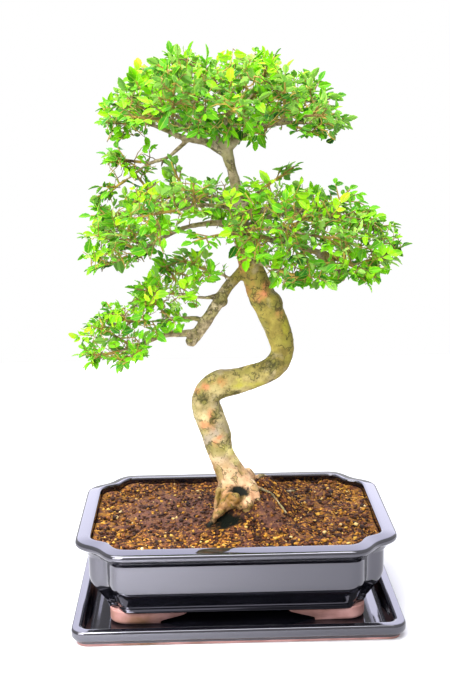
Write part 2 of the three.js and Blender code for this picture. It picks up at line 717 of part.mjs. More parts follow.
// Soil: it fills the pot, and has a plain hole for the foot of the tree and room for the
// drainage mesh
function makeSoil() {
  const shell = POT_INSIDE.slice(1).toReversed()
    .map(([inset, ...rest]) => [inset + SOIL_CLEARANCE, ...rest]);
  shell[0][1] += GAP;
  const rings = shell.map(potRing);
  const edge = rings.pop();
  const surface = [1, 0.84, 0.62, 0.42, 0.25, 0.12].map((share) => edge.map((p) => {
    const x = THREE.MathUtils.lerp(MOUND.x, p.x, share);
    const y = THREE.MathUtils.lerp(MOUND.y, p.y, share);
    return new THREE.Vector3(x, y, soilHeight(x, y));
  }));
  const bed = solidOf(loft([...rings, ...surface]));
  const recesses = [-1, 1].map((side) => {
    const room = MESH_SIDE + 2 * SOIL_CLEARANCE;
    const block = new THREE.BoxGeometry(room, room, 2 * (MESH_THICKNESS + GAP + SOIL_CLEARANCE));
    return solidOf(block.translate(side * DRAIN_SPACING / 2, 0, POT_FLOOR));
  });
  const foot = trunkSolid(TRUNK.slice(0, 6), SOIL_CLEARANCE);
  const hole = join([foot, ...rootSolids(SOIL_CLEARANCE), ...recesses]);
  return largestBody(bed.subtract(hole));
}

addPiece('drip_tray', makeTray(), finish.glaze);
addPiece('pot', makePot(), finish.glaze);
addPiece('drainage_mesh_left', makeDrainageMesh(-1), finish.plastic);
addPiece('drainage_mesh_right', makeDrainageMesh(1), finish.plastic);
addPiece('soil', geometryOf(makeSoil()), finish.soil);

const mounts = sprayMounts();
const wood = makeWood(mounts);
addPiece('trunk_and_branches', geometryOf(wood), finish.bark);

for (const { mount, twigs, leaves } of makeSprays(mounts, wood)) {
  addPiece(mount.name, geometryOf(largestBody(join([...twigs, ...leaves]))), finish.leaf);
}

export default part;
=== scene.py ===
"""Chinese elm bonsai with an S-bent trunk, in a black glazed pot on a drip tray.

Lengths are millimetres, and mesh_object turns them into metres. The tray's underside
lies on z = 0, +X is to the right and +Y is away from the front of the pot. The trunk, the
limbs and the foot of every spray follow the same points and the same growth rule as the
solids that they replace.
"""
import math
from functools import partial

import bpy
import numpy as np
from mathutils import Matrix, Vector


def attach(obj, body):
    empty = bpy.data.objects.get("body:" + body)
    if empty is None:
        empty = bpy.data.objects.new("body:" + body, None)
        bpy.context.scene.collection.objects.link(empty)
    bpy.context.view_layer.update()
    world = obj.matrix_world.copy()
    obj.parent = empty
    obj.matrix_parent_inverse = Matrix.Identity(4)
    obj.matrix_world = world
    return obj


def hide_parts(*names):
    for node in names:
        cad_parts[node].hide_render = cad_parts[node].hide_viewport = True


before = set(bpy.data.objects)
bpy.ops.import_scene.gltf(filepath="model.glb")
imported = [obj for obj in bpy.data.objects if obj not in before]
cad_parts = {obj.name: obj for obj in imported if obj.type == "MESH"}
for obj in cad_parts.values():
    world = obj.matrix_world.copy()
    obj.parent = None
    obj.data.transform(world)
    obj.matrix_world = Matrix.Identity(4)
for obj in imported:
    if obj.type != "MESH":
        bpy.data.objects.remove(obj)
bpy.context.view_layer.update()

MM = 0.001
UP = np.array([0.0, 0.0, 1.0])

# Drip tray and pot, as measured over their outer edges, and the heights of the tray's
# floor and of the undersides of the feet and of the pot
TRAY_LENGTH, TRAY_WIDTH = 304.0, 237.0
TRAY_CORNER = 13.0
POT_LENGTH, POT_WIDTH = 300.0, 218.0
TRAY_FLOOR, POT_FOOT, POT_UNDERSIDE = 5.7, 6.0, 18.0

# Feet: thickness of their arms, radius and inset of their corner, and the length of both
# arms on the ground with what they gain up to the underside
FOOT_WALL = 12.0
FOOT_CORNER, FOOT_INSET = 14.0, 31.4
ARM_ALONG, ARM_ALONG_GAIN = 45, 27
ARM_ACROSS, ARM_ACROSS_GAIN = 42, 24

# How much further out the base stands at the front and the back than at the ends, and how
# far the wall stands out beside each notch
BASE_BELLY = 8.0
NOTCH_SHOULDER = 2.0

# Tray: inset and height of its bare base band, and of its glazed rim and floor
TRAY_BAND = [(5, 0), (4.8, 1.2), (4.4, 2.4)]
TRAY_GLAZED = [(4.4, 2.4), (3.6, 4.4), (0.8, 6.6), (0, 9), (0, 13.5), (1.2, 15.6), (4, 15.6),
               (8, 15.6), (10.2, 14.2), (13.2, 9.6), (16.2, 6.6), (19, TRAY_FLOOR),
               (30, TRAY_FLOOR)]

# Pot: inset, height, leg and indent of the notched corners, and how much further out the
# front and back stand than the ends
POT_OUTSIDE = [
    (29.6, POT_UNDERSIDE, 18, 1.5, BASE_BELLY), (29.2, 20, 18, 1.5, BASE_BELLY),
    (28.4, 22.2, 18, 1.6, BASE_BELLY), (27.6, 24.4, 19, 2.2, 7.6), (25, 27.4, 20, 3, 6.5),
    (20, 33, 24, 4, 4.5), (15.4, 38.4, 27, 4.8, 2.4), (13, 42.4, 28, 5.2, 1),
    (12, 47, 28, 5.4, 0), (12, 56, 28, 5.4, 0), (12, 67.4, 28, 5.4, 0),
    (11.6, 68.2, 28.5, 5.2, 0), (7.5, 73, 33, 4.2, 0), (3.6, 75.6, 36, 3.6, 0),
    (0.8, 77.4, 38, 3.2, 0), (0, 79, 38.6, 3.2, 0), (0.1, 81, 38.6, 3.2, 0),
    (0.9, 82.4, 38.2, 3.2, 0), (2.4, 83.3, 37.2, 3.3, 0), (6, 84, 35.2, 3.6, 0),
    (10.6, 84.7, 32, 4.2, 0), (12.8, 84.9, 30.4, 4.5, 0),
]
POT_INSIDE = [
    (14.3, 84.2, 29.2, 4.6, 0), (14.7, 82.8, 29, 4.7, 0), (14.9, 77, 28.8, 4.8, 0),
    (19.5, 46, 28, 4.8, 0), (30, 25, 25, 4, 5), (37, 22, 22, 3.5, 6),
]

# Soil surface, the mound that it makes against the right of the trunk, and the wide heap
# around the tree's foot
SOIL_LEVEL = 78.0
MOUND_X, MOUND_Y, MOUND_HEIGHT = 32.0, 13.0, 29.0
MOUND_SPREAD_X, MOUND_SPREAD_Y = 19.0, 20.0
HEAP_X, HEAP_Y, HEAP_HEIGHT, HEAP_SPREAD = 10.0, -20.0, 18.0, 25.0

# Hollow in front of the roots, and the dark moss in it
HOLLOW_X, HOLLOW_Y, HOLLOW_DEPTH = -8.0, -38.0, 5.0
HOLLOW_SPREAD_X, HOLLOW_SPREAD_Y = 13.0, 9.0
MOSS_X, MOSS_Y, MOSS_SPREAD_X, MOSS_SPREAD_Y = -8.0, -37.0, 19.0, 12.0

# Dusty places on the soil: centre, and half width and depth
DUSTY_SOIL = [(-62, 12, 58, 74), (34, -34, 20, 24)]

# Soil's inset in the pot and its notched corners, and the grains of grit strewn over a half
# length and a half width of it. Those that fall on moss or past its corners are left out.
SOIL_INSET, SOIL_LEG, SOIL_INDENT = 15.4, 28.6, 4.8
GRAINS = 5000
GRIT_HALF_LENGTH, GRIT_HALF_WIDTH = 131, 90

# Leaves of the sprays' own twigs and of the shoots, their width and the drop of their tip
# as shares of their length, and how far a shoot's leaf stands off its twig
LEAF_LENGTH = 14.0
SMALLEST_LEAF, LARGEST_LEAF = 5.4, 14.6
LEAF_WIDTH_RATIO, LEAF_DROP = 0.56, 0.16
PETIOLE = 1.2

# Leaves in the two rows of a shoot, how far a spray's foot stands off its limb, and the
# points tried as places for a pad's shoots
SHOOT_LEAVES = 6
SPRAY_FOOT = 8
SHOOT_TRIES = 24000
GROWTH_SEED = 4711

# Radii at both ends of the twigs, and the shortest and longest shoot and bare twig. A shoot
# grows only where wood is no further off than TWIG_REACH.
MAIN_TWIG_RADII, SIDE_TWIG_RADII = (1.5, 0.8), (0.75, 0.5)
SHOOT_RADII, BARE_TWIG_RADII = (0.62, 0.3), (0.5, 0.28)
SHOOT_LENGTHS, BARE_TWIG_LENGTHS = (9, 20), (10, 30)
TWIG_REACH = 46

# Trunk: centre line and radius, from its foot in the soil to the fork under the top pad
TRUNK = [
    (8, -6, 66, 16), (6, -6, 84, 19), (4, -5, 98, 18.5), (2, -4, 110, 16.4), (-5, -2, 126, 14),
    (-12, 0, 143, 12.7), (-16, 2, 159, 14.2), (-22, 4, 176, 14.6), (-26.5, 5, 192, 13.8),
    (-22.5, 5, 203, 13.4), (-12, 4, 210, 13.6), (2, 3, 213, 12.8), (22, -2, 219.5, 11.4),
    (39, -5, 228, 11), (46.5, -5, 238, 10.8), (48, -5, 248, 11), (45, -4, 260, 12.2),
    (40, -2, 274, 12.6), (33, 0, 289, 12.4), (25, 2, 305, 12.2), (18, 3, 327, 10.6),
    (13, 4, 348, 8.8), (9.5, 3, 367, 7.4), (7, 2, 386, 6.3), (4.5, 1, 403, 5.6),
    (1, 0, 418, 5.3), (-3, 0, 433, 5.8),
]

# Roots: points, and a radius for each. Where the height is missing, the root lies on the soil.
ROOTS = [
    ([(-2, -8, 116), (-6, -19, 109), (-5, -25, 103), (-10, -28, 97), (-17, -32, 91),
      (-25, -37, 80)], [7, 7, 7.5, 4.5, 3.2, 2]),
    ([(-3, -25, 103), (5, -27, 98), (12, -26, 97)], [5, 3.5, 4.5]),
    ([(12, -12, 110), (13, -20, 103), (13, -26, 98), (13, -28, 88)], [7, 6, 6, 4.5]),
    ([(7, -6, 120), (13, -10, 114), (17.5, -14, 107), (21, -17, 99), (23, -18, 86)],
     [8.5, 7.2, 6.2, 5, 4]),
    ([(2, 2, 106), (-4, 18, 96), (-8, 30, 84), (-10, 38, 68)], [10, 8, 6, 4]),
    ([(-6, -4, 118), (-13, -9, 110), (-17, -12, 99), (-19, -14, 76)], [5.5, 3.6, 2.8, 2.2]),
    ([(22, -8), (28, -9), (36, -10), (44, -15), (50, -22)], [2.2, 1.6, 1.4, 1.2, 0.9]),
    ([(20, 12), (30, 18), (40, 26), (50, 40), (64, 58)], [3, 2.6, 2.2, 1.8, 1.5]),
]

# Knobs that stand a little proud of the trunk and the roots, as short thick tubes
BULGES = [
    ([(36, -3, 282), (38, -4, 289), (34, -3, 296)], [9.4, 10.4, 9.2]),
    ([(-5, -24, 107), (-5, -26, 102), (-6, -26, 98)], [6.4, 7.8, 6]),
    ([(-1, -28, 110), (1, -29, 106), (1, -28, 102)], [3.6, 4.2, 3.4]),
    ([(-9, -29, 104), (-11, -30, 101), (-12, -30, 98)], [3.8, 4.6, 3.6]),
    ([(-15, -33, 95), (-17, -34, 93), (-18, -34, 91)], [2.8, 3.6, 2.6]),
    ([(8, -28, 101), (12, -29, 100), (15, -28, 98)], [4.4, 5.6, 4.2]),
    ([(12, 2, 122), (15, 3, 119), (18, 4, 114)], [4.6, 4.8, 4.4]),
    ([(-8, 1, 296), (-10, 0, 293), (-12, 0, 290)], [5.6, 6.6, 5.6]),
]

# Patches on the front of the bark: x, z, half width and half height
SALMON_SCARS = [(42, 281, 6, 7), (31, 301, 6, 6), (24, 296, 5, 5), (33, 308, 4, 5),
                (-25, 211, 7, 5), (-35, 206, 5, 5), (-27, 174, 6, 7), (-12, 162, 5, 5),
                (-18, 156, 5, 5), (-22, 184, 4, 8), (-2, 172, 3, 4)]
FLAKY_BARK = [(38, 234, 11, 11), (27, 229, 9, 6), (-12, 201, 9, 5), (1, 205, 8, 4),
              (-27, 199, 7, 6), (-18, 182, 6, 8), (30, 291, 8, 5), (41, 290, 8, 6),
              (-9, 294, 7, 7), (4, 352, 6, 12)]
SULPHUR_LICHEN = [(50, 266, 6, 12), (7, 213, 9, 6), (-9, 151, 5, 6), (-2, 147, 5, 5),
                  (20, 213, 15, 5)]
# Pale spots on the right edge of the lower trunk: a painted highlight
PAINTED_HIGHLIGHT_SPOTS = [(-3, 148, 8, 7), (2, 138, 8, 5)]
RUSTY_BARK = [(17, 306, 7, 12), (25, 300, 8, 9), (32, 304, 6, 7), (9, 330, 7, 12),
              (-20, 176, 5, 12), (-12, 216, 7, 5)]

# Share of a thin limb's end radius that is left as bare wood, and the limbs that keep theirs.
# Wood counts as thin from THIN_FROM off the middle of the trunk and the thick limbs, wholly
# from THIN_TO, and never below THIN_ABOVE.
THIN_LIMB = 0.6
THICK_LIMBS = ("low_left", "cut_stub")
THIN_FROM, THIN_TO, THIN_ABOVE = 15, 22, 150

# Voxels that melt the wood into one skin
VOXEL = 1.1

# Limbs: name, points, radii at both ends, and the sprays on it. A spray is its place along
# the limb, its turn to the left and its rise in degrees, and its length.
LIMBS = [
    ("top_left", [(-3, 0, 430), (-20, -2, 440), (-42, -4, 445), (-60, -6, 453), (-73, -8, 458)],
     5.4, 1.9, [(1, 8, 2, 32), (0.8, -52, 12, 36), (0.7, 50, 35, 38)]),
    ("top_left_front", [(-18, -2, 439), (-32, -20, 448), (-46, -38, 458), (-54, -48, 463)],
     3.4, 1.7, [(1, -22, 4, 36), (0.82, 40, 42, 36)]),
    ("top_left_back", [(-18, -2, 439), (-34, 20, 452), (-50, 38, 464), (-58, 46, 470)],
     3.4, 1.7, [(1, 30, 8, 36), (0.8, -35, 30, 34)]),
    ("top_left_leader", [(-6, 0, 434), (-18, 3, 452), (-28, 3, 468), (-35, 2, 480)],
     4, 1.7, [(1, 20, 52, 34), (0.86, -110, 48, 34)]),
    ("top_right_leader", [(-3, 0, 430), (4, 2, 450), (14, 4, 468), (20, 4, 480)],
     4.4, 1.7, [(1, -10, 56, 34), (0.84, 95, 50, 34), (0.8, -70, 28, 34)]),
    ("top_right", [(-3, 0, 432), (14, 2, 447), (34, 2, 454), (54, 0, 457), (70, -2, 456)],
     4.4, 1.7, [(1, -4, -2, 28), (0.84, 48, 30, 36), (0.72, -50, -12, 34)]),
    ("top_right_front", [(14, 2, 447), (28, -18, 453), (42, -36, 460), (50, -46, 463)],
     3, 1.7, [(1, 25, 4, 36), (0.8, -36, 36, 34)]),
    ("top_right_back", [(14, 2, 447), (30, 22, 455), (46, 38, 465), (54, 46, 470)],
     3, 1.7, [(1, -25, 10, 36)]),
    ("top_front", [(-2, 0, 440), (-3, -18, 450), (-4, -36, 460), (-4, -46, 464)],
     3.2, 1.7, [(1, 6, 16, 34)]),
    ("under_left", [(-38, -4, 443), (-47, -4, 435), (-58, -6, 427), (-74, -8, 422), (-90, -8, 411)],
     2.8, 1.6, [(1, -10, -32, 28), (0.72, -12, 6, 32)]),
    ("mid_left_high", [(7, 2, 385), (-12, -3, 389), (-34, -6, 389), (-58, -6, 385), (-80, -6, 379)],
     4.2, 1.8, [(1, 6, -4, 40), (0.8, -35, 40, 36), (0.52, 20, 55, 30)]),
    ("mid_left_low", [(9, 3, 364), (-14, 2, 366), (-40, 0, 363), (-60, -2, 355), (-78, -4, 346),
                      (-90, -4, 340)],
     4.2, 1.7, [(1, 4, -24, 34), (0.9, -45, 8, 42), (0.78, 45, 16, 38)]),
    ("mid_left_front", [(7, 2, 378), (-10, -20, 384), (-28, -40, 387), (-44, -52, 385)],
     3.4, 1.7, [(1, -18, -6, 38), (0.74, 46, 24, 36)]),
    ("mid_left_back", [(7, 2, 378), (-12, 26, 384), (-34, 44, 386), (-50, 54, 385)],
     3.4, 1.7, [(1, 20, -2, 38)]),
    ("mid_right_high", [(9, 3, 370), (30, 2, 377), (54, 0, 378), (80, -2, 373), (100, -4, 366)],
     4.2, 1.8, [(1, 4, -10, 40), (0.84, -50, 4, 38), (0.76, 46, 20, 38)]),
    ("mid_right_low", [(13, 4, 347), (34, 4, 350), (58, 2, 345), (84, 0, 336), (104, -2, 329),
                       (116, -4, 326)],
     4.8, 1.7, [(1, 0, 14, 36), (0.86, 42, 24, 38), (0.78, -44, -14, 36)]),
    ("cut_stub", [(84, 0, 336), (95, -6, 324), (104, -10, 313)], 4.8, 4.2, []),
    ("mid_right_front", [(10, 3, 358), (28, -20, 363), (48, -38, 364), (64, -50, 361)],
     3.6, 1.7, [(1, 18, -8, 38), (0.72, -40, 20, 36)]),
    ("mid_right_back", [(10, 3, 358), (30, 26, 366), (52, 44, 368), (68, 54, 366)],
     3.6, 1.7, [(1, -18, 0, 38)]),
    ("mid_crown", [(8, 2, 374), (16, -6, 386), (24, -12, 394)],
     3, 1.7, [(1, 20, 36, 34)]),
    ("mid_back", [(10, 3, 358), (12, 24, 366), (15, 42, 372), (18, 52, 375)],
     3.4, 1.7, [(1, 6, 8, 38)]),
    ("mid_front", [(12, 4, 352), (10, -16, 358), (4, -36, 362), (-2, -48, 362)],
     3.4, 1.7, [(1, -22, 2, 36), (0.8, 50, 10, 34)]),
    ("mid_low", [(17, 3, 330), (26, -14, 330), (38, -26, 327)], 2.8, 1.6, [(1, 10, -14, 36)]),
    ("low_left", [(18, 3, 327), (8, 2, 317), (-3, 0, 306), (-16, -2, 286), (-25, -3, 273),
                  (-33, -4, 262), (-40, -5, 253)],
     5.6, 5.2, []),
    ("low_left_branch", [(-30, -4, 264), (-46, -5, 263), (-62, -6, 262), (-78, -7, 257),
                         (-90, -8, 252), (-99, -9, 249)],
     4.6, 1.7, [(1, 0, -10, 34), (0.84, -40, 18, 38), (0.6, 52, -22, 36)]),
    ("low_left_rear", [(-24, -3, 274), (-40, 4, 276), (-58, 10, 273), (-76, 14, 271)],
     2.6, 1.6, [(1, 6, -2, 38), (0.7, -30, 42, 34)]),
    ("low_left_high", [(-8, 0, 299), (-22, -6, 297), (-36, -10, 299), (-46, -12, 302)],
     2.9, 1.7, [(1, 4, 6, 36), (0.72, -30, 44, 34)]),
    ("low_left_top", [(3, 1, 312), (-8, -4, 318), (-18, -8, 322)], 2.2, 1.6, [(1, -16, 20, 30)]),
    ("top_back", [(-2, 0, 440), (-2, 18, 451), (0, 36, 462), (2, 46, 467)],
     3.2, 1.7, [(1, 4, 14, 36)]),
    ("mid_back_low", [(14, 4, 342), (22, 22, 346), (32, 40, 346), (38, 50, 344)],
     3, 1.7, [(1, 12, -10, 38)]),
]

# Outlines of the foliage pads on the plane y = 0, as seen from the camera, the half depth
# of each pad front to back, the distance between its shoots, its bare twigs, and how much
# lighter its leaves are
PADS = {
    "top": {
        "outline": [(-113, 446), (-121, 469), (-113, 486), (-102, 493), (-86, 506), (-77, 518),
                    (-69, 510), (-55, 523), (-34, 526), (-15, 516), (11, 521), (32, 527),
                    (52, 507), (83, 497), (101, 471), (113, 456), (103, 439), (81, 443),
                    (65, 455), (39, 452), (30, 436), (10, 442), (-5, 437), (-27, 442),
                    (-49, 446), (-72, 456), (-102, 437)],
        "half_depth": 82, "spacing": 13.6, "bare_twigs": 170, "lighter": 0.0,
    },
    "middle": {
        "outline": [(-149, 373), (-141, 360), (-145, 347), (-141, 334), (-125, 324), (-95, 324),
                    (-76, 332), (-62, 350), (-50, 364), (-30, 368), (-10, 366), (-3, 346), (2, 329),
                    (29, 319), (49, 297), (65, 307), (89, 300), (112, 310), (137, 304),
                    (151, 319), (166, 338), (160, 357), (139, 373), (113, 383), (92, 393),
                    (67, 406), (52, 402), (34, 417), (10, 405), (-11, 412), (-22, 406),
                    (-42, 409), (-61, 415), (-75, 414), (-103, 394), (-131, 378)],
        "half_depth": 88, "spacing": 15.4, "bare_twigs": 170, "lighter": 0.1,
    },
    "under": {
        "outline": [(-122, 424), (-112, 434), (-98, 430), (-94, 438), (-84, 438), (-76, 444),
                    (-62, 441), (-62, 433), (-48, 429), (-46, 416), (-60, 414), (-76, 408),
                    (-92, 404), (-108, 384), (-128, 384), (-130, 398), (-112, 404)],
        "half_depth": 20, "spacing": 17, "bare_twigs": 30, "lighter": 0.05,
    },
    "lower": {
        "outline": [(-153, 253), (-148, 266), (-129, 284), (-105, 295), (-85, 304), (-80, 321),
                    (-62, 330), (-41, 340), (-22, 341), (2, 328), (2, 316), (-16, 303),
                    (-31, 295), (-36, 284), (-43, 270), (-63, 252), (-78, 244), (-102, 231),
                    (-139, 232), (-149, 242)],
        "half_depth": 44, "spacing": 15.5, "bare_twigs": 70, "lighter": 0.22,
    },
}

# Camera at the photograph's angle: place, pitch down, turn to the right, roll and lens
CAMERA_PLACE = (-28.87, -1060.29, 498.17)
CAMERA_PITCH = 0.22356
CAMERA_TURN = 0.02104
CAMERA_ROLL = -0.0143
CAMERA_LENS = 61.1

# Half the side of the floor
FLOOR_HALF = 950


# Numbers and curves

def linear(hex_colour):
    """Linear RGBA of an sRGB hex colour."""
    channels = [int(hex_colour[i:i + 2], 16) / 255 for i in (1, 3, 5)]
    return [c / 12.92 if c <= 0.04045 else ((c + 0.055) / 1.055) ** 2.4 for c in channels] + [1.0]


def draw(*keys):
    """Repeatable numbers between 0 and 1 for whole-number keys, which may be arrays: each
    key is mixed into a 32-bit hash by two multiplications and two shifted exclusive ors."""
    word = np.uint64(0xFFFFFFFF)
    state = np.uint64(GROWTH_SEED)
    for key in keys:
        state = ((state ^ np.asarray(key, np.uint64)) * np.uint64(0x9E3779B1)) & word
        state = state ^ (state >> np.uint64(15))
        state = (state * np.uint64(0x85EBCA6B)) & word
        state = state ^ (state >> np.uint64(13))
    return state / 2.0 ** 32


def unit(vectors):
    """Vectors scaled to a length of 1 along their last axis."""
    return vectors / np.linalg.norm(vectors, axis=-1, keepdims=True)


def square_to(vectors, axis):
    """Unit vectors square to a unit axis: what they have along it is taken out."""
    return unit(vectors - axis * np.sum(vectors * axis, axis=-1, keepdims=True))


def step_lengths(path):
    """Lengths of the steps from each point of a path to the next."""
    return np.linalg.norm(np.diff(path, axis=0), axis=1)


def catmull(points, places):
    """Points at places from 0 to 1 on a uniform Catmull-Rom curve: a cubic between two
    control points, whose slope at each is half the chord between its neighbours."""
    p = np.asarray(points, float)
    p = np.vstack([2 * p[0] - p[1], p, 2 * p[-1] - p[-2]])
    at = np.clip(np.asarray(places, float), 0, 1) * (len(points) - 1)
    first = np.minimum(at.astype(int), len(points) - 2)
    t = (at - first)[..., None]
    a, b, c, d = (p[first + i] for i in range(4))
    from_b, to_c = (c - a) / 2, (d - b) / 2
    return b + from_b * t + (3 * (c - b) - 2 * from_b - to_c) * t ** 2 \
        + (2 * (b - c) + from_b + to_c) * t ** 3


def tangent(points, place):
    """Direction of the curve at a place, from two points close around it."""
    return unit(catmull(points, place + 1e-4) - catmull(points, place - 1e-4))


def rolled(vectors, axis, angle):
    """Vectors turned about an axis: Rodrigues' rotation."""
    along = np.sum(vectors * axis, axis=-1, keepdims=True) * axis
    side = np.cross(axis, vectors)
    return along + (vectors - along) * np.cos(angle) + side * np.sin(angle)


def value_noise(points, size, seed):
    """Smooth noise from -1 to 1: random values on a lattice of the given size, blended by a
    smoothstep along each axis."""
    p = np.asarray(points, float) / size + 1000
    cell = np.floor(p).astype(np.int64)
    t = p - cell
    t = t * t * (3 - 2 * t)
    total = np.zeros(p.shape[:-1])
    for corner in range(8):
        step = np.array([corner & 1, corner >> 1 & 1, corner >> 2 & 1])
        weight = np.prod(np.where(step, t, 1 - t), axis=-1)
        at = cell + step
        total += weight * draw(seed, at[..., 0], at[..., 1], at[..., 2])
    return total * 2 - 1


def mixed_noise(points, *layers):
    """Sum of smooth noises, each given by its strength, its size and its seed."""
    return sum(strength * value_noise(points, size, seed) for strength, size, seed in layers)


def fade(values, start, end):
    """Share that goes from 0 where the values are start to 1 where they are end."""
    return np.clip((values - start) / (end - start), 0, 1)


def on_level(x, y):
    """Points at height 0, for noise that is read in plan."""
    return np.stack([x, y, np.zeros_like(x)], -1)


def from_spots(spots, x, y):
    """Distance of each point from the nearest of some oval spots, each a centre and a half
    width and height, as a share of that half width."""
    return np.min([np.hypot((x - middle_x) / wide, (y - middle_y) / high)
                   for middle_x, middle_y, wide, high in spots], axis=0)


# Meshes

def grid_faces(rows, columns, first=0):
    """Quads between the rows of a grid of points, whose columns close on themselves."""
    row, column = np.meshgrid(np.arange(rows - 1), np.arange(columns), indexing="ij")
    a = row * columns + column
    b = row * columns + (column + 1) % columns
    return (np.stack([a, b, b + columns, a + columns], -1) + first).reshape(-1, 4)


def ring_faces(rings, around):
    """Quads between rings of points, and triangles that close the first and the last ring
    on the two points that follow the rings."""
    side = np.arange(around)
    after = (side + 1) % around
    top = (rings - 1) * around
    ends = [np.full(around, rings * around + end) for end in (0, 1)]
    caps = np.vstack([np.stack([after, side, ends[0]], -1),
                      np.stack([top + side, top + after, ends[1]], -1)])
    return [grid_faces(rings, around), caps]


def repeated(blocks, count, step):
    """Face blocks of one shape, repeated for count shapes of step points each."""
    shift = (np.arange(count) * step)[:, None, None]
    return [(block + shift).reshape(-1, block.shape[1]) for block in blocks]


def object_of(mesh, name, materials, values=()):
    """Object of a mesh with materials. values gives each point a number under a name."""
    for material in materials:
        mesh.materials.append(material)
    for key, numbers in dict(values).items():
        layer = mesh.attributes.new(key, "FLOAT", "POINT")
        layer.data.foreach_set("value", np.asarray(numbers, np.float32))
    made = bpy.data.objects.new(name, mesh)
    bpy.context.scene.collection.objects.link(made)
    return made


def mesh_object(name, points, faces, materials, slots=None, values=(), leaf_map=None,
                flat_slots=()):
    """Object from points in millimetres and blocks of faces. slots gives each face's
    material, and leaf_map a pair of shares for each point. Faces are shaded smooth, except
    those with a material in flat_slots."""
    mesh = bpy.data.meshes.new(name)
    polygons = [face for block in faces for face in np.asarray(block).tolist()]
    mesh.from_pydata((np.asarray(points, float) * MM).tolist(), [], polygons)
    made = object_of(mesh, name, materials, values)
    flat = np.zeros(len(polygons), bool)
    if slots is not None:
        mesh.polygons.foreach_set("material_index", np.asarray(slots, np.int32))
        flat = np.isin(slots, flat_slots)
    mesh.polygons.foreach_set("use_smooth", ~flat)
    if leaf_map is not None:
        corners = np.empty(len(mesh.loops), np.int32)
        mesh.loops.foreach_get("vertex_index", corners)
        layer = mesh.uv_layers.new(name="leaf_map")
        layer.uv.foreach_set("vector", np.asarray(leaf_map, np.float32)[corners].ravel())
    mesh.validate()
    mesh.update()
    return made


def place(piece, *nodes, slot):
    """Makes a piece ride on the plant's one body, in the place of the named nodes. slot is not
    used."""
    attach(piece, "root")
    if nodes:
        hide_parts(*nodes)


def tubes(paths, radii, sides):
    """Round skins along many paths at once. Each ring lies across its path: its points are
    the centre plus the radius times cosine and sine of an even angle along two directions
    square to the path. The ends close on a point that stands half a radius proud."""
    paths = np.asarray(paths, float)
    count, steps = paths.shape[:2]
    along = unit(np.gradient(paths, axis=1))
    first = unit(np.cross(along, unit(np.array([0.36, 0.21, 0.91]))))
    second = np.cross(along, first)
    angle = 2 * np.pi * np.arange(sides) / sides
    radii = np.broadcast_to(radii, (count, steps))[..., None, None]
    rings = paths[:, :, None] + radii * (np.cos(angle)[:, None] * first[:, :, None]
                                         + np.sin(angle)[:, None] * second[:, :, None])
    start = paths[:, :1] - along[:, :1] * radii[:, :1, 0] * 0.5
    end = paths[:, -1:] + along[:, -1:] * radii[:, -1:, 0] * 0.5
    points = np.concatenate([rings.reshape(count, -1, 3), start, end], axis=1)
    return points.reshape(-1, 3), repeated(ring_faces(steps, sides), count, points.shape[1])


def face_count(blocks):
    """Number of faces in some blocks."""
    return sum(len(block) for block in blocks)


def joined(parts):
    """One list of points and one list of face blocks from several."""
    points, faces, first = [], [], 0
    for some, blocks in parts:
        points.append(some)
        faces += [block + first for block in blocks]
        first += len(some)
    return np.vstack(points), faces


# Materials

# Number of the output that a link takes from a node, where it isn't the first: a mixed
# colour, an attribute's number and Object coordinates
MAIN_OUTPUT = {"ShaderNodeMix": 2, "ShaderNodeAttribute": 2, "ShaderNodeTexCoord": 3}


def feed(node, inputs):
    """Gives a node's inputs, listed in their order or keyed by name or number, a value, a hex
    colour, or a link from a socket or from another node's main output."""
    for name, value in inputs.items() if isinstance(inputs, dict) else enumerate(inputs):
        socket = node.inputs[name]
        if isinstance(value, bpy.types.Node):
            value = value.outputs[MAIN_OUTPUT.get(value.bl_idname, 0)]
        if isinstance(value, bpy.types.NodeSocket):
            node.id_data.links.new(value, socket)
        else:
            socket.default_value = linear(value) if isinstance(value, str) else value


def add_node(tree, kind, inputs=(), stops=(), **settings):
    """Node of a kind with its own settings and its inputs fed. stops pairs the places of a
    colour ramp with hex colours. A map range lists its value, the range that it has, and the
    range that it is turned into."""
    made = tree.nodes.new("ShaderNode" + kind)
    for name, value in settings.items():
        setattr(made, name, value)
    feed(made, inputs)
    for _ in stops[2:]:
        made.color_ramp.elements.new(0.5)
    for element, (at, colour) in zip(made.color_ramp.elements if stops else (), stops):
        element.position = at
        element.color = linear(colour)
    return made


def new_material(recipe):
    """Material named like its recipe: a function that adds nodes with add and returns what
    its Principled shader is fed."""
    made = bpy.data.materials.new(recipe.__name__)
    made.use_nodes = True
    tree = made.node_tree
    feed(tree.nodes["Principled BSDF"], recipe(partial(add_node, tree)))
    return made


def per_mm(size):
    """Scale of a pattern whose grain is size millimetres across."""
    return 1 / (size * MM)


def black_glazed_stoneware(add):
    """Glazed stoneware, dipped and fired: a hard glass skin that mirrors the studio a little
    bluish, with a faint orange peel."""
    here = add("TexCoord")
    cloud = add("TexNoise", {"Vector": here, "Scale": per_mm(60)})
    peel = add("TexNoise", {"Vector": here, "Scale": per_mm(9), "Detail": 1.0})
    return {
        "Base Color": add("ValToRGB", [cloud], [(0.3, "#050508"), (0.7, "#0B0B10")]),
        "Roughness": 0.05, "IOR": 1.9, "Specular Tint": "#F4F2FF",
        "Normal": add("Bump", {"Height": peel, "Strength": 0.3, "Distance": 0.05 * MM})}


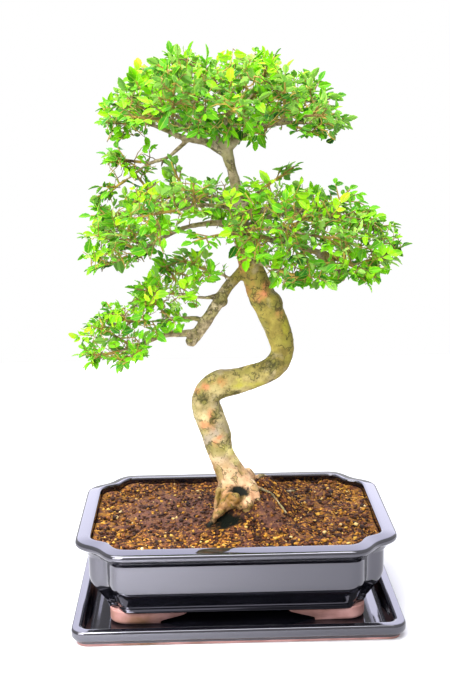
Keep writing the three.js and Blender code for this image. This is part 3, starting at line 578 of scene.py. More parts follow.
def unglazed_pink_clay(add):
    """Unglazed pink stoneware, wiped clean of glaze before firing: matte and a little
    sandy, stained ochre by water and glaze in places, most of all on the left."""
    here = add("TexCoord")
    cloud = add("TexNoise", {"Vector": here, "Scale": per_mm(22), "Detail": 3.0})
    body = add("ValToRGB", [cloud], [(0.3, "#866058"), (0.5, "#A07672"), (0.75, "#B88E8A")])
    stain = add("TexNoise", {"Vector": here, "Scale": per_mm(34), "Detail": 4.0})
    stained = add("MapRange", [stain, 0.42, 0.66])
    left = add("MapRange", [add("SeparateXYZ", [here]), 0.0, -60 * MM, 0.0, 0.8])
    share = add("Math", [stained, left], operation="MULTIPLY")
    sand = add("TexNoise", {"Vector": here, "Scale": per_mm(1.2)})
    return {
        "Base Color": add("Mix", {0: share, 6: body, 7: "#5E421E"}, data_type="RGBA"),
        "Roughness": 0.85, "Specular IOR Level": 0.3,
        "Normal": add("Bump", {"Height": sand, "Strength": 0.6, "Distance": 0.15 * MM})}


def elm_bark(add):
    """Elm bark, grown: smooth olive-tan skin with soft grey and mauve clouds, which flakes off in
    plates with fine dark rims and leaves salmon scars. Old flaky bark is dark and cracked, moss is
    black-green, limbs are grey-brown, and the foot is pinkish tan. The trunk above the upper bend
    is painted darker as painted shade of the pads, pale spots on the right of the lower trunk are a
    painted highlight, the root ochre on the trunk's left edge is painted shade, and the near-black
    in the hollow under the foot is moss and painted shade. The attributes girth, rusty, sulphur,
    scar, root, flaky and moss, and the one for the painted highlight, say where each of these lies."""
    here = add("TexCoord")
    height = add("SeparateXYZ", [here]).outputs["Z"]
    cloud = add("TexNoise",
                {"Vector": here, "Scale": per_mm(12), "Detail": 5.0, "Roughness": 0.6})
    # The second ramp is the paler bark below the upper bend, out of the painted shade of the pads
    skin, bark_below_painted_shade, chalky, pinkish = [add("ValToRGB", [cloud], stops) for stops in (
        [(0.25, "#584D20"), (0.42, "#716428"), (0.56, "#857833"), (0.75, "#9B8E45")],
        [(0.25, "#7E7042"), (0.42, "#96875A"), (0.56, "#AA9B6E"), (0.75, "#BEB082")],
        [(0.3, "#6C5F42"), (0.5, "#9C8F70"), (0.7, "#BCB094")],
        [(0.3, "#9A6C48"), (0.5, "#CA9C76"), (0.7, "#E2BE9A")])]
    # Paler bark below the upper bend, which leaves the trunk above it darker as painted shade of
    # the pads; mauve clouds, a grey-tan top, and a pinkish-tan foot
    below_painted_shade_share = add("MapRange", [height, 236 * MM, 192 * MM])
    tint = add("TexNoise", {"Vector": here, "Scale": per_mm(21), "Detail": 2.0})
    mauve_share = add("MapRange", [tint, 0.53, 0.68, 0.0, 0.75])
    chalky_share = add("MapRange", [height, 355 * MM, 385 * MM])
    pinkish_share = add("MapRange", [height, 150 * MM, 112 * MM])
    for share, colour in ((below_painted_shade_share, bark_below_painted_shade), (mauve_share, "#968A7C"),
                          (chalky_share, chalky), (pinkish_share, pinkish)):
        skin = add("Mix", {0: share, 6: skin, 7: colour}, data_type="RGBA")
    # Grey-brown bark of thin limbs
    grain = add("TexNoise",
                {"Vector": here, "Scale": per_mm(5), "Detail": 4.0, "Roughness": 0.6})
    thin = add("ValToRGB", [grain], [(0.3, "#544A34"), (0.5, "#8A7C5C"), (0.7, "#B8AA88")])
    girth = add("Attribute", attribute_name="girth")
    skin = add("Mix", {0: girth, 6: thin, 7: skin}, data_type="RGBA")
    # Flaky bark is darker and greener, with fine dark specks
    flaky = add("Attribute", attribute_name="flaky")
    old = add("Math", [flaky, 0.5], operation="MULTIPLY")
    dots = add("TexNoise",
               {"Vector": here, "Scale": per_mm(1.9), "Detail": 3.0, "Roughness": 0.6})
    more = add("Math", [flaky, 0.14, dots], operation="MULTIPLY_ADD")
    speck = add("MapRange", [more, 0.58, 0.68, 0.0, 0.7])
    # Rims of the plates: thin lines where a slow noise passes through its middle value
    plates = add("TexNoise",
                 {"Vector": here, "Scale": per_mm(11), "Detail": 3.0, "Roughness": 0.55})
    off = add("Math", [plates, 0.5], operation="SUBTRACT")
    far = add("Math", [off], operation="ABSOLUTE")
    width = add("Math", [flaky, 0.03, 0.036], operation="MULTIPLY_ADD")
    rim = add("MapRange", [far, 0.0, width, 0.85, 0.0])
    zone = add("TexNoise", {"Vector": here, "Scale": per_mm(19)})
    raised = add("Math", [flaky, 0.2, zone], operation="MULTIPLY_ADD")
    seen = add("MapRange", [raised, 0.44, 0.52])
    rim = add("Math", [rim, seen], operation="MULTIPLY")
    # The plates themselves are greener than the bark between them
    within = add("MapRange", [off, 0.0, 0.02, 0.0, 0.45])
    plate = add("Math", [within, seen], operation="MULTIPLY")
    # Cracks between the scales of flaky bark, 5 mm across
    scales = add("TexVoronoi", {"Vector": here, "Scale": per_mm(5)}, feature="DISTANCE_TO_EDGE")
    crack = add("MapRange", [scales, 0.17, 0.05, 0.0, 0.9])
    crack = add("Math", [crack, flaky], operation="MULTIPLY")
    rim = add("Math", [rim, crack], operation="MAXIMUM")
    # Patches placed on the trunk, and what was made above, one over the other. The pale spots are a
    # painted highlight, the root ochre also stands as painted shade on the trunk's left edge, and
    # the near-black moss also stands as painted shade in the hollow under the foot
    for share, colour in (("rusty", "#A26A38"), ("sulphur", "#A8A62C"), ("scar", "#BC7850"),
                          ("bleached", "#E2D490"), ("root", "#7C5A24"), (old, "#5A5624"),
                          (speck, "#4A431F"), (plate, "#74712A"), (rim, "#2E2C10"),
                          ("moss", "#0A0F06")):
        if isinstance(share, str):
            share = add("Attribute", attribute_name=share)
        skin = add("Mix", {0: share, 6: skin, 7: colour}, data_type="RGBA")
    rise = add("Math", [rim, -0.8, dots], operation="MULTIPLY_ADD")
    return {"Base Color": skin, "Roughness": 0.78, "Specular IOR Level": 0.25,
            "Normal": add("Bump", {"Height": rise, "Strength": 0.6, "Distance": 0.6 * MM})}


def young_elm_twig(add):
    """Young elm twig, grown: thin olive-brown to yellow-tan bark, a little glossy."""
    cloud = add("TexNoise", {"Vector": add("TexCoord"), "Scale": per_mm(13), "Detail": 2.0})
    colour = add("ValToRGB", [cloud], [
        (0.28, "#40351A"), (0.42, "#6E5C28"), (0.55, "#968030"), (0.72, "#B89A40")])
    return {"Base Color": colour, "Roughness": 0.6, "Specular IOR Level": 0.3}


# Both sides of a leaf let light a short way into their flesh, where it turns green
LEAF_FLESH = {"IOR": 1.35, "Specular IOR Level": 0.2, "Subsurface Weight": 0.3,
              "Subsurface Radius": (0.6, 1.0, 0.1), "Subsurface Scale": 0.6 * MM}


def elm_leaf(add):
    """Upper side of an elm leaf, grown: a waxy skin over green flesh, from yellow-green when young
    to deep green, cooler in places, with a paler midrib. Its tone also holds painted light: leaves
    higher in a pad are lighter."""
    flesh = add("ValToRGB", [add("Attribute", attribute_name="tone")], [
        (0.0, "#103404"), (0.25, "#2C6604"), (0.5, "#529804"), (0.75, "#72BC06"),
        (0.92, "#84CA0A"), (1.0, "#9AD41A")])
    # Cooler, darker green in clouds about as wide as two leaves
    cloud = add("TexNoise", {"Vector": add("TexCoord"), "Scale": per_mm(20)})
    cool = add("MapRange", [cloud, 0.5, 0.6, 0.0, 0.6])
    across = add("SeparateXYZ", [add("UVMap", uv_map="leaf_map")]).outputs["Y"]
    from_middle = add("Math", [across], operation="ABSOLUTE")
    midrib = add("MapRange", [from_middle, 0.1, 0.03, 0.0, 0.6])
    for share, colour in ((cool, "#246A1E"), (midrib, "#A4B84A")):
        flesh = add("Mix", {0: share, 6: flesh, 7: colour}, data_type="RGBA")
    return {"Base Color": flesh, "Roughness": 0.5, **LEAF_FLESH}


def elm_leaf_underside(add):
    """Underside of an elm leaf, grown: matte, paler and greyer than the upper side, with the same
    tone and its painted light.
    """
    flesh = add("ValToRGB", [add("Attribute", attribute_name="tone")], [
        (0.0, "#3A6224"), (0.5, "#68983A"), (1.0, "#98BE58")])
    return {"Base Color": flesh, "Roughness": 0.7, **LEAF_FLESH}


def bark_and_grit_soil(add):
    """Moist bark and grit soil: dark red-brown crumbs about 2 mm across, greyer in clouds,
    with ochre-brown clumps. The attributes dust and moss say where fine dust lies and where
    black-green moss grows."""
    here = add("TexCoord")
    crumbs = add("TexVoronoi", {"Vector": here, "Scale": per_mm(2.0)}).outputs["Color"]
    colour = add("ValToRGB", [add("SeparateXYZ", [crumbs])], [
        (0.0, "#0C0504"), (0.35, "#29140E"), (0.62, "#522E1A"), (0.84, "#845024"),
        (0.96, "#C08A34")])
    cloud = add("TexNoise", {"Vector": here, "Scale": per_mm(26), "Detail": 3.0})
    grey = add("MapRange", [cloud, 0.48, 0.62, 0.0, 0.55])
    # Clumps, thicker towards the ends of the pot
    outward = add("Math", [add("SeparateXYZ", [here])], operation="ABSOLUTE")
    clump = add("TexNoise", {"Vector": here, "Scale": per_mm(6), "Detail": 3.0})
    rich = add("Math", [outward, 0.9, clump], operation="MULTIPLY_ADD")
    ochre = add("MapRange", [rich, 0.58, 0.68, 0.0, 0.7])
    dust, moss = [add("Attribute", attribute_name=key) for key in ("dust", "moss")]
    for share, layer in ((grey, "#5C3C36"), (ochre, "#7E561E"), (dust, "#5E4038"),
                         (moss, "#070B05")):
        colour = add("Mix", {0: share, 6: colour, 7: layer}, data_type="RGBA")
    grain = add("TexNoise", {"Vector": here, "Scale": per_mm(1.5), "Detail": 4.0})
    return {"Base Color": colour, "Roughness": 0.92, "Specular IOR Level": 0.12,
            "Normal": add("Bump", {"Height": grain, "Strength": 0.8, "Distance": 1.2 * MM})}


def bark_chips_and_grit(add):
    """Bark chips, lava and pumice grit: matte grains, each of one colour."""
    colour = add("ValToRGB", [add("Attribute", attribute_name="tone")], [
        (0.0, "#24120A"), (0.35, "#3C2012"), (0.6, "#64381C"), (0.76, "#8A581C"),
        (0.88, "#AC7A22"), (0.96, "#C09A48"), (1.0, "#C4B080")])
    return {"Base Color": colour, "Roughness": 0.85, "Specular IOR Level": 0.25}


def moulded_polyethylene(add):
    """Moulded polyethylene drainage mesh: dark green with a slight satin."""
    cloud = add("TexNoise", {"Vector": add("TexCoord"), "Scale": per_mm(5)})
    colour = add("ValToRGB", [cloud], [(0.3, "#1B2B20"), (0.7, "#2C4233")])
    return {"Base Color": colour, "Roughness": 0.5}


def white_paper_sweep(add):
    """Matt white paper sweep under the plant, all of one colour."""
    return {"Base Color": "#CACACE", "Roughness": 0.9}


GLAZE = new_material(black_glazed_stoneware)
CLAY = new_material(unglazed_pink_clay)
BARK = new_material(elm_bark)
TWIG = new_material(young_elm_twig)
LEAF = new_material(elm_leaf)
LEAF_BACK = new_material(elm_leaf_underside)
SOIL = new_material(bark_and_grit_soil)
GRIT = new_material(bark_chips_and_grit)
PLASTIC = new_material(moulded_polyethylene)
PAPER = new_material(white_paper_sweep)


# Pot and drip tray

def notched_corner(leg, indent, steps=19):
    """Corner of a notched pot as distances inside its two sides: a chamfer, pushed in by
    indent times the squared sine at its middle and out beside both ends. It is carried on
    along both sides, and then each point is averaged with its neighbours."""
    s = np.linspace(0, 1, steps)
    push = indent * np.sin(np.pi * s) ** 2 - NOTCH_SHOULDER * np.sin(2 * np.pi * s) ** 2
    middle = np.stack([leg * s, leg * (1 - s)], -1) + push[:, None] * math.sqrt(0.5)
    run = np.array([[9.0], [6.0], [3.0]])
    corner = np.vstack([np.hstack([0 * run, leg + run]), middle,
                        np.hstack([leg + run, 0 * run])[::-1]])
    for _ in range(7):
        corner[1:-1] = (corner[:-2] + 2 * corner[1:-1] + corner[2:]) / 4
    return corner


def round_corner(radius, steps=9):
    """Quarter circle as distances inside the two sides."""
    angle = np.linspace(0, np.pi / 2, steps)
    return np.stack([radius * (1 - np.cos(angle)), radius * (1 - np.sin(angle))], -1)


def rectangle_plan(length, width, inset, z, corner):
    """Ring of points at height z: the corner mirrored into all four quarters."""
    quarter = np.array([length / 2 - inset, width / 2 - inset]) - corner
    back = quarter[::-1]
    ring = np.vstack([quarter, back * [-1, 1], -quarter, back * [1, -1]])
    return np.column_stack([ring, np.full(len(ring), z)])


def softened(profile, share):
    """Profile with each corner cut off twice, at a share of its sides, so that edges turn
    soft: Chaikin's cut, with both ends kept."""
    line = np.asarray(profile, float)
    for _ in range(2):
        a, b = line[:-1], line[1:]
        cut = np.stack([a + (b - a) * share, b + (a - b) * share], 1).reshape(-1, line.shape[1])
        line = np.vstack([line[:1], cut[1:-1], line[-1:]])
    return line


def capped_rings(rings):
    """Points and faces of a skin over rings, closed by a point in the middle of each end."""
    rings = np.asarray(rings)
    points = np.vstack([rings.reshape(-1, 3), rings[0].mean(0), rings[-1].mean(0)])
    return points, ring_faces(*rings.shape[:2])


def make_tray():
    """Rounded rectangle carried up the tray's profile. The base band and the underside are
    bare clay, and the rest is glazed."""
    profile = np.vstack([TRAY_BAND, softened(TRAY_GLAZED, 0.2)[1:]])
    rings = [rectangle_plan(TRAY_LENGTH, TRAY_WIDTH, inset, z,
                            round_corner(max(TRAY_CORNER - inset * 0.5, 2.5)))
             for inset, z in profile]
    points, faces = capped_rings(rings)
    around = len(rings[0])
    bare = 2 * around
    slots = np.repeat([1, 0, 1, 0], [bare, len(faces[0]) - bare, around, around])
    tray = mesh_object("drip_tray_glazed", points, faces, [GLAZE, CLAY], slots)
    place(tray, "drip_tray", slot="glaze")


def make_pot():
    """Notched rectangle carried up the outside, over the lip and down the inside, with four
    bracket feet of bare clay that shorten downwards in an ogee. A mirrored foot has its faces
    turned round."""
    profile = softened(POT_OUTSIDE + POT_INSIDE, 0.18)
    rings = [rectangle_plan(POT_LENGTH, POT_WIDTH + 2 * belly, inset, z,
                            notched_corner(leg, indent))
             for inset, z, leg, indent, belly in profile]
    parts = [capped_rings(rings)]
    foot, blocks = capped_rings(foot_rings())
    for flip_x, flip_y in ((1, 1), (-1, 1), (-1, -1), (1, -1)):
        parts.append((foot * [flip_x, flip_y, 1],
                      [block[:, ::flip_x * flip_y] for block in blocks]))
    points, faces = joined(parts)
    body = face_count(parts[0][1])
    slots = np.repeat([0, 1], [body, face_count(faces) - body])
    pot = mesh_object("pot_glazed", points, faces, [GLAZE, CLAY], slots)
    place(pot, "pot", slot="glaze")


def foot_rings():
    """Rings of the foot at +X +Y. Its two arms run along the sides, and their length grows
    upwards in an ogee between the ground and the underside."""
    rings = []
    for share in np.linspace(0, 1, 11):
        z = POT_FOOT + share * (POT_UNDERSIDE + 1 - POT_FOOT)
        spread = share - 0.16 * math.sin(2 * math.pi * share)
        along = ARM_ALONG + ARM_ALONG_GAIN * spread
        across = ARM_ACROSS + ARM_ACROSS_GAIN * spread
        inset = FOOT_INSET + 2 * max(0, 1 - 4 * share) ** 2
        a, b = POT_LENGTH / 2 - inset, POT_WIDTH / 2 + BASE_BELLY - inset
        corner = np.array([a, b]) - round_corner(FOOT_CORNER)
        outline = np.vstack([
            [(a, b - across)], corner,
            [(a - along, b), (a - along, b - FOOT_WALL), (a - 28, b - FOOT_WALL),
             (a - FOOT_WALL - 4, b - 24), (a - FOOT_WALL, b - across)]])
        rings.append(np.column_stack([outline, np.full(len(outline), z)]))
    return rings


# Soil

def soil_height(x, y):
    """Height of the soil: its level, the mound and the heap as Gaussians, minus a Gaussian
    hollow in front of the roots, plus slow waves."""
    from_mound = ((x - MOUND_X) / MOUND_SPREAD_X) ** 2 + ((y - MOUND_Y) / MOUND_SPREAD_Y) ** 2
    from_heap = ((x - HEAP_X) ** 2 + (y - HEAP_Y) ** 2) / HEAP_SPREAD ** 2
    heaped = MOUND_HEIGHT * np.exp(-from_mound / 2) + HEAP_HEIGHT * np.exp(-from_heap / 2)
    hollow = HOLLOW_DEPTH * np.exp(-((x - HOLLOW_X) / HOLLOW_SPREAD_X) ** 2
                                   - ((y - HOLLOW_Y) / HOLLOW_SPREAD_Y) ** 2)
    waves = 0.9 * np.sin(x / 17 + 1) * np.cos(y / 13) + 0.6 * np.sin(x / 7 + y / 9)
    return SOIL_LEVEL + heaped - hollow + waves


def moss_on_soil(x, y):
    """Share of moss: a Gaussian around the dark hollow in front of the roots, with an edge
    broken by noise."""
    from_moss = ((x - MOSS_X) / MOSS_SPREAD_X) ** 2 + ((y - MOSS_Y) / MOSS_SPREAD_Y) ** 2
    ragged = mixed_noise(on_level(x, y), (1, 5, 31), (0.6, 2, 32))
    return np.clip(2.6 * np.exp(-from_moss) - 0.7 + 0.7 * ragged, 0, 1)


def dust_on_soil(points):
    """Share of fine dust on the soil: ovals whose edges are broken up by noise."""
    ragged = mixed_noise(points, (0.5, 14, 71), (0.4, 3, 72))
    far = from_spots(DUSTY_SOIL, points[:, 0], points[:, 1])
    return np.clip(1.4 - 1.4 * far + 0.5 * ragged, 0, 0.72)


def make_soil():
    """Soil bed: the pot's inner ring at soil level shrunk towards the mound in even steps,
    at the height of the soil plus crumbs of four sizes, over a plain underside."""
    edge = rectangle_plan(POT_LENGTH, POT_WIDTH, SOIL_INSET, 0,
                          notched_corner(SOIL_LEG, SOIL_INDENT))
    edge = np.vstack([edge, edge[:1]])
    far = np.insert(np.cumsum(step_lengths(edge)), 0, 0)
    around, rings = 360, 100
    at = np.linspace(0, far[-1], around, endpoint=False)
    rim = np.stack([np.interp(at, far, edge[:, axis]) for axis in (0, 1)], -1)
    centre = np.array([MOUND_X, MOUND_Y])
    shares = np.linspace(1, 0.012, rings)[:, None, None]
    plan = centre + (rim - centre) * shares
    x, y = plan[..., 0], plan[..., 1]
    crumbs = mixed_noise(on_level(x, y), (1.3, 9, 4), (1.0, 5, 1), (0.7, 2.8, 2),
                         (0.35, 1.5, 3))
    z = soil_height(x, y) + crumbs * np.minimum(1, (1.005 - shares[..., 0]) * 30)
    below = [np.column_stack([rim * (1 - drop), np.full(around, height)])
             for drop, height in ((0.16, 26), (0.04, 46))]
    points, faces = capped_rings(np.concatenate([below, np.stack([x, y, z], -1)]))
    values = {"moss": moss_on_soil(points[:, 0], points[:, 1]), "dust": dust_on_soil(points)}
    place(mesh_object("soil_bed", points, faces, [SOIL], values=values), "soil", slot="soil")


def make_grit():
    """Loose grains on the soil: each is a box pushed towards a ball and stretched at random,
    lying half sunk on the surface. Most are dark bark, and some are gold, orange or pale."""
    rng = np.random.default_rng(11)
    long, wide = GRIT_HALF_LENGTH, GRIT_HALF_WIDTH
    x = rng.uniform(-long, long, GRAINS)
    y = rng.uniform(-wide, wide, GRAINS)
    clear = ((long - np.abs(x)) + (wide - np.abs(y)) > 32) & (moss_on_soil(x, y) < 0.3)
    x, y = x[clear], y[clear]
    count = len(x)
    edge = np.clip(np.maximum(np.abs(x) / long, -y / wide), 0, 1)
    size = 0.45 + (1.0 + 0.7 * edge) * rng.random(count) ** 2.6
    stretch = size[:, None] * rng.uniform(0.6, 1.3, (count, 3)) * [1.15, 1.0, 0.7]
    corners = np.array([(i, j, k) for i in (-1, 1) for j in (-1, 1) for k in (-1, 1)], float)
    faces = np.array([(0, 1, 3, 2), (4, 6, 7, 5), (0, 4, 5, 1), (2, 3, 7, 6), (0, 2, 6, 4),
                      (1, 5, 7, 3)])
    turn = rng.uniform(0, 2 * np.pi, count)[:, None]
    lean = rng.uniform(-0.5, 0.5, count)[:, None]
    shape = corners * 0.75 + rng.uniform(-0.28, 0.28, (count, 8, 3))
    across, along, up = np.moveaxis(shape * stretch[:, None], -1, 0)
    leant = across * np.cos(lean) + up * np.sin(lean)
    height = (soil_height(x, y) + 0.45 * size)[:, None]
    points = np.stack([leant * np.cos(turn) - along * np.sin(turn) + x[:, None],
                       leant * np.sin(turn) + along * np.cos(turn) + y[:, None],
                       up * np.cos(lean) - across * np.sin(lean) + height], -1)
    tone = np.repeat(rng.random(count) ** (2.6 - 1.5 * edge), 8)
    grains = mesh_object("grit_on_soil", points.reshape(-1, 3), repeated([faces], count, 8),
                         [GRIT], values={"tone": tone})
    place(grains, slot="soil")


# Trunk, roots and limbs

def sweep_points(path, radii, sides, step=2.0):
    """Tube along a smooth curve through the path, with a ring about every step millimetres,
    whose radius follows the same kind of curve through the radii."""
    path = np.asarray(path, float)
    places = np.linspace(0, 1, max(4, int(step_lengths(path).sum() / step)))
    line = catmull(path, places)
    radius = catmull(np.asarray(radii, float)[:, None], places)[:, 0]
    return tubes(line[None], radius[None], sides)


def turned(heading, turn, rise):
    """Level direction of a heading, turned to the left and raised, both in degrees."""
    level = unit(np.array([heading[0], heading[1], 0.0]))
    level = rolled(level, UP, math.radians(turn))
    return level * math.cos(math.radians(rise)) + UP * math.sin(math.radians(rise))


def spray_mounts():
    """Foot, end, heading and length of each spray, in the order of the limbs."""
    mounts = []
    for limb, points, start, end, sprays in LIMBS:
        for order, (at, turn, rise, length) in enumerate(sprays):
            root = catmull(points, at)
            heading = turned(tangent(points, at), turn, rise)
            reach = SPRAY_FOOT if at == 1 else SPRAY_FOOT + start + (end - start) * at
            mounts.append({
                "name": f"spray_{limb}_{order + 1}", "limb": limb, "tip": at == 1,
                "number": len(mounts), "root": root, "end": root + heading * reach,
                "heading": heading, "length": length})
    return mounts


def limb_path(name, points, mounts):
    """Limb's points, with the foot of the spray at its tip added where it has one."""
    ends = [m["end"] for m in mounts if m["limb"] == name and m["tip"]]
    return np.array(list(points) + ends, float)


def root_path(points, radii):
    """Root's points, laid on the soil where they have no height."""
    return np.array([p if len(p) == 3 else (*p, soil_height(*p) + 0.4 * radius)
                     for p, radius in zip(points, radii)])


def patch(points, spots, edge, seed):
    """Share from 0 to 1 of some oval spots on the front of the trunk, with an edge broken by
    noise."""
    ragged = mixed_noise(points, (0.5, 5, seed), (0.3, 2, seed + 1))
    far = from_spots(spots, points[:, 0], points[:, 2])
    return np.clip((1 - far + ragged) / edge, 0, 1) * (points[:, 1] < 12)


def bark_values(points, thin):
    """Numbers that tell the bark material where its colours lie, painted shade and a painted
    highlight among them: by height, by side, and in patches and hollows broken up by noise."""
    x, y, z = points.T
    mottled = mixed_noise(points, (1, 5, 53), (0.7, 2.2, 54))
    # Knobbly roots: the left of the foot and the knobs in front, and the trunk's left edge higher
    # up, where this dark ochre is painted shade
    root = np.maximum.reduce([
        fade(z, 118, 109) * fade(x, 10, 3),
        fade(z, 138, 126) * fade(x, -11, -16) * 0.8,
        fade(z, 104, 99) * fade(y, -20, -25) * 0.6])
    # Near-black in the hollow under the foot, moss and painted shade of a hollow that the wood
    # doesn't carve, and moss low on its left
    from_hollow = ((x - 3.5) / 10.5) ** 2 + ((z - 109.5) / 6.5) ** 2 + 0.6 * mottled
    low = np.clip((93 - z + 5 * mottled) / 6, 0, 1)
    moss = np.clip(2.2 - 1.8 * from_hollow, 0, 1) * (y > -27) + low * fade(x, 4, -4)
    stray_root = (z < 114) & (x > 25)
    low_limb = fade(x, -1, -9) * (z > 245) * fade(z, 335, 323)
    return {
        "girth": 1 - np.maximum.reduce([thin, stray_root, low_limb]),
        "scar": patch(points, SALMON_SCARS, 1.0, 41) * 0.9,
        "flaky": patch(points, FLAKY_BARK, 0.9, 43),
        "sulphur": patch(points, SULPHUR_LICHEN, 1.1, 45) * 0.6,
        # Painted highlight on the right edge of the lower trunk
        "bleached": patch(points, PAINTED_HIGHLIGHT_SPOTS, 1.2, 47) * 0.8,
        "rusty": patch(points, RUSTY_BARK, 1.1, 49) * 0.8,
        "root": np.clip(root * (0.75 + 0.4 * mottled), 0, 1),
        "moss": np.clip(moss, 0, 1) * (z < 122),
    }


def wood_tubes(mounts):
    """Tubes along the trunk, its roots and bulges, the limbs, and the branchlets that carry
    a spray beside a limb."""
    trunk = np.array(TRUNK, float)
    parts = [sweep_points(trunk[:, :3], trunk[:, 3], 48)]
    parts += [sweep_points(root_path(points, radii), radii, 20) for points, radii in ROOTS]
    parts += [sweep_points(points, radii, 24, 1.0) for points, radii in BULGES]
    for name, points, start, end, _ in LIMBS:
        path = limb_path(name, points, mounts)
        slim = 1.0 if name in THICK_LIMBS else THIN_LIMB
        radii = np.linspace(start * (1 + slim) / 2, end * slim, len(path))
        parts.append(sweep_points(path, radii, 16))
    parts += [sweep_points([mount["root"], mount["end"]], [1.5, 1.2], 12)
              for mount in mounts if not mount["tip"]]
    return joined(parts)


def melted(points, faces):
    """One smooth skin over shapes that overlap, by a voxel remesh."""
    rough = mesh_object("wood_rough", points, faces, [])
    remesh = rough.modifiers.new("melt", "REMESH")
    remesh.mode = "VOXEL"
    remesh.voxel_size = VOXEL * MM
    smooth = rough.modifiers.new("smooth", "SMOOTH")
    smooth.factor = 0.5
    smooth.iterations = 4
    seen = rough.evaluated_get(bpy.context.evaluated_depsgraph_get())
    mesh = bpy.data.meshes.new_from_object(seen)
    bpy.data.objects.remove(rough)
    return mesh


def triples(items, key):
    """Three numbers that each item of a mesh holds under a key."""
    numbers = np.empty(len(items) * 3)
    items.foreach_get(key, numbers)
    return numbers.reshape(-1, 3)


def make_wood(mounts):
    """Trunk, roots, limbs and branchlets melted into one skin, which is then pushed along its
    normals by noise of three sizes for bark relief, and by more on flaky bark, thin limbs and
    knobbly roots."""
    mesh = melted(*wood_tubes(mounts))
    skin = triples(mesh.vertices, "co") / MM
    normal = triples(mesh.vertex_normals, "vector")
    thick = np.vstack([catmull([row[:3] for row in TRUNK], np.linspace(0, 1, 160))]
                      + [catmull(limb[1], np.linspace(0, 1, 40)) for limb in LIMBS
                         if limb[0] in THICK_LIMBS])
    reach = np.concatenate([np.linalg.norm(block[:, None] - thick, axis=-1).min(1)
                            for block in np.array_split(skin, 200)])
    thin = fade(reach, THIN_FROM, THIN_TO) * (skin[:, 2] > THIN_ABOVE)
    values = bark_values(skin, thin)
    relief = mixed_noise(skin, (0.8, 16, 21), (0.4, 6, 22), (0.22, 2.6, 23))
    flakes = np.round(1.5 * value_noise(skin, 5, 24)) * values["flaky"] * 0.5
    knots = thin * mixed_noise(skin, (0.35, 6, 25), (0.2, 3, 26))
    gnarls = values["root"] * mixed_noise(skin, (1.3, 5.5, 27), (0.7, 2.6, 28))
    skin = skin + normal * (relief * (1 - 0.7 * thin) + flakes + knots + gnarls)[:, None]
    mesh.vertices.foreach_set("co", (skin * MM).ravel())
    mesh.polygons.foreach_set("use_smooth", np.ones(len(mesh.polygons), bool))
    mesh.name = "trunk_and_limbs"
    wood = object_of(mesh, "trunk_and_limbs", [BARK], values)
    mesh.update()
    place(wood, "trunk_and_branches", slot="bark")


# Leaves

def leaf_template():
    """Serrated blade as shares: along the leaf, across it, and above its plane. Each of eight
    stations has a raised left edge, the midrib, a raised right edge, and one point beneath.
    The edge follows a pointed oval and steps out and in for the teeth. The last
    list marks the faces of the underside."""
    along = np.array([0.05, 0.17, 0.3, 0.43, 0.56, 0.69, 0.81, 0.92])
    zero = np.zeros(8)
    edge = np.sin(np.pi * along ** 0.92) ** 0.74 * np.where(np.arange(8) % 2, 1.07, 0.93)
    rows = np.stack([
        np.stack([along - 0.015, edge, 0.1 * edge], -1),
        np.stack([along, zero, zero], -1),
        np.stack([along + 0.015, -edge, 0.1 * edge], -1),
        np.stack([along, zero, zero - 0.03], -1)], 1)
    points = np.vstack([[(0, 0, 0)], rows.reshape(-1, 3), [(1, 0, 0)]])
    side = np.arange(4)
    after = (side + 1) % 4
    last = len(points) - 1
    fans = np.vstack([np.stack([1 + after, 1 + side, np.zeros(4, int)], -1),
                      np.stack([last - 4 + side, last - 4 + after, np.full(4, last)], -1)])
    return points, grid_faces(8, 4, first=1), fans, np.tile([0, 0, 1, 1], 9)


LEAF_POINTS, LEAF_QUADS, LEAF_FANS, LEAF_BELOW = leaf_template()


def leaves(base, heading, normal, length, tone):
    """Points, faces, sides, tones and leaf maps of many leaves. A point of the template lies
    at the base plus its shares of the length along the heading, of the half width across it
    and of the length along the face, less an arch that grows with the square of the way out."""
    heading = unit(heading)
    across = unit(np.cross(normal, heading))
    face = np.cross(heading, across)
    length = np.asarray(length)[:, None, None]
    s, w, h = (LEAF_POINTS[None, :, i, None] for i in range(3))
    points = base[:, None] + heading[:, None] * s * length \
        + across[:, None] * w * length * LEAF_WIDTH_RATIO / 2 \
        + face[:, None] * (h - LEAF_DROP * s ** 2) * length
    count, each = points.shape[:2]
    quads = len(LEAF_QUADS)
    sides = np.concatenate([np.tile(LEAF_BELOW[:quads], count),
                            np.tile(LEAF_BELOW[quads:], count)])
    return points.reshape(-1, 3), repeated([LEAF_QUADS, LEAF_FANS], count, each), sides, \
        np.repeat(tone, each), np.tile(LEAF_POINTS[:, :2], (count, 1))


def spray_frame(mount):
    """Heading, left and upper direction of a spray, rolled a little about the heading."""
    heading = mount["heading"]
    left = unit(np.cross(UP, heading))
    upper = unit(np.cross(heading, left))
    roll = (draw(mount["number"], 1) - 0.5) * 1.1
    return heading, rolled(left, heading, roll), rolled(upper, heading, roll)


def main_twig(mount, t):
    """Points of a spray's main twig: straight along the heading, plus a bend upwards and to
    the left that grows with the square of t."""
    heading, left, upper = spray_frame(mount)
    number, length = mount["number"], mount["length"]
    lift = (draw(number, 2) - 0.4) * 0.3
    drift = (draw(number, 3) - 0.5) * 0.3
    t = np.asarray(t, float)[..., None]
    return mount["end"] + heading * 0.3 + length * (
        heading * t + upper * lift * t ** 2 + left * drift * t ** 2)


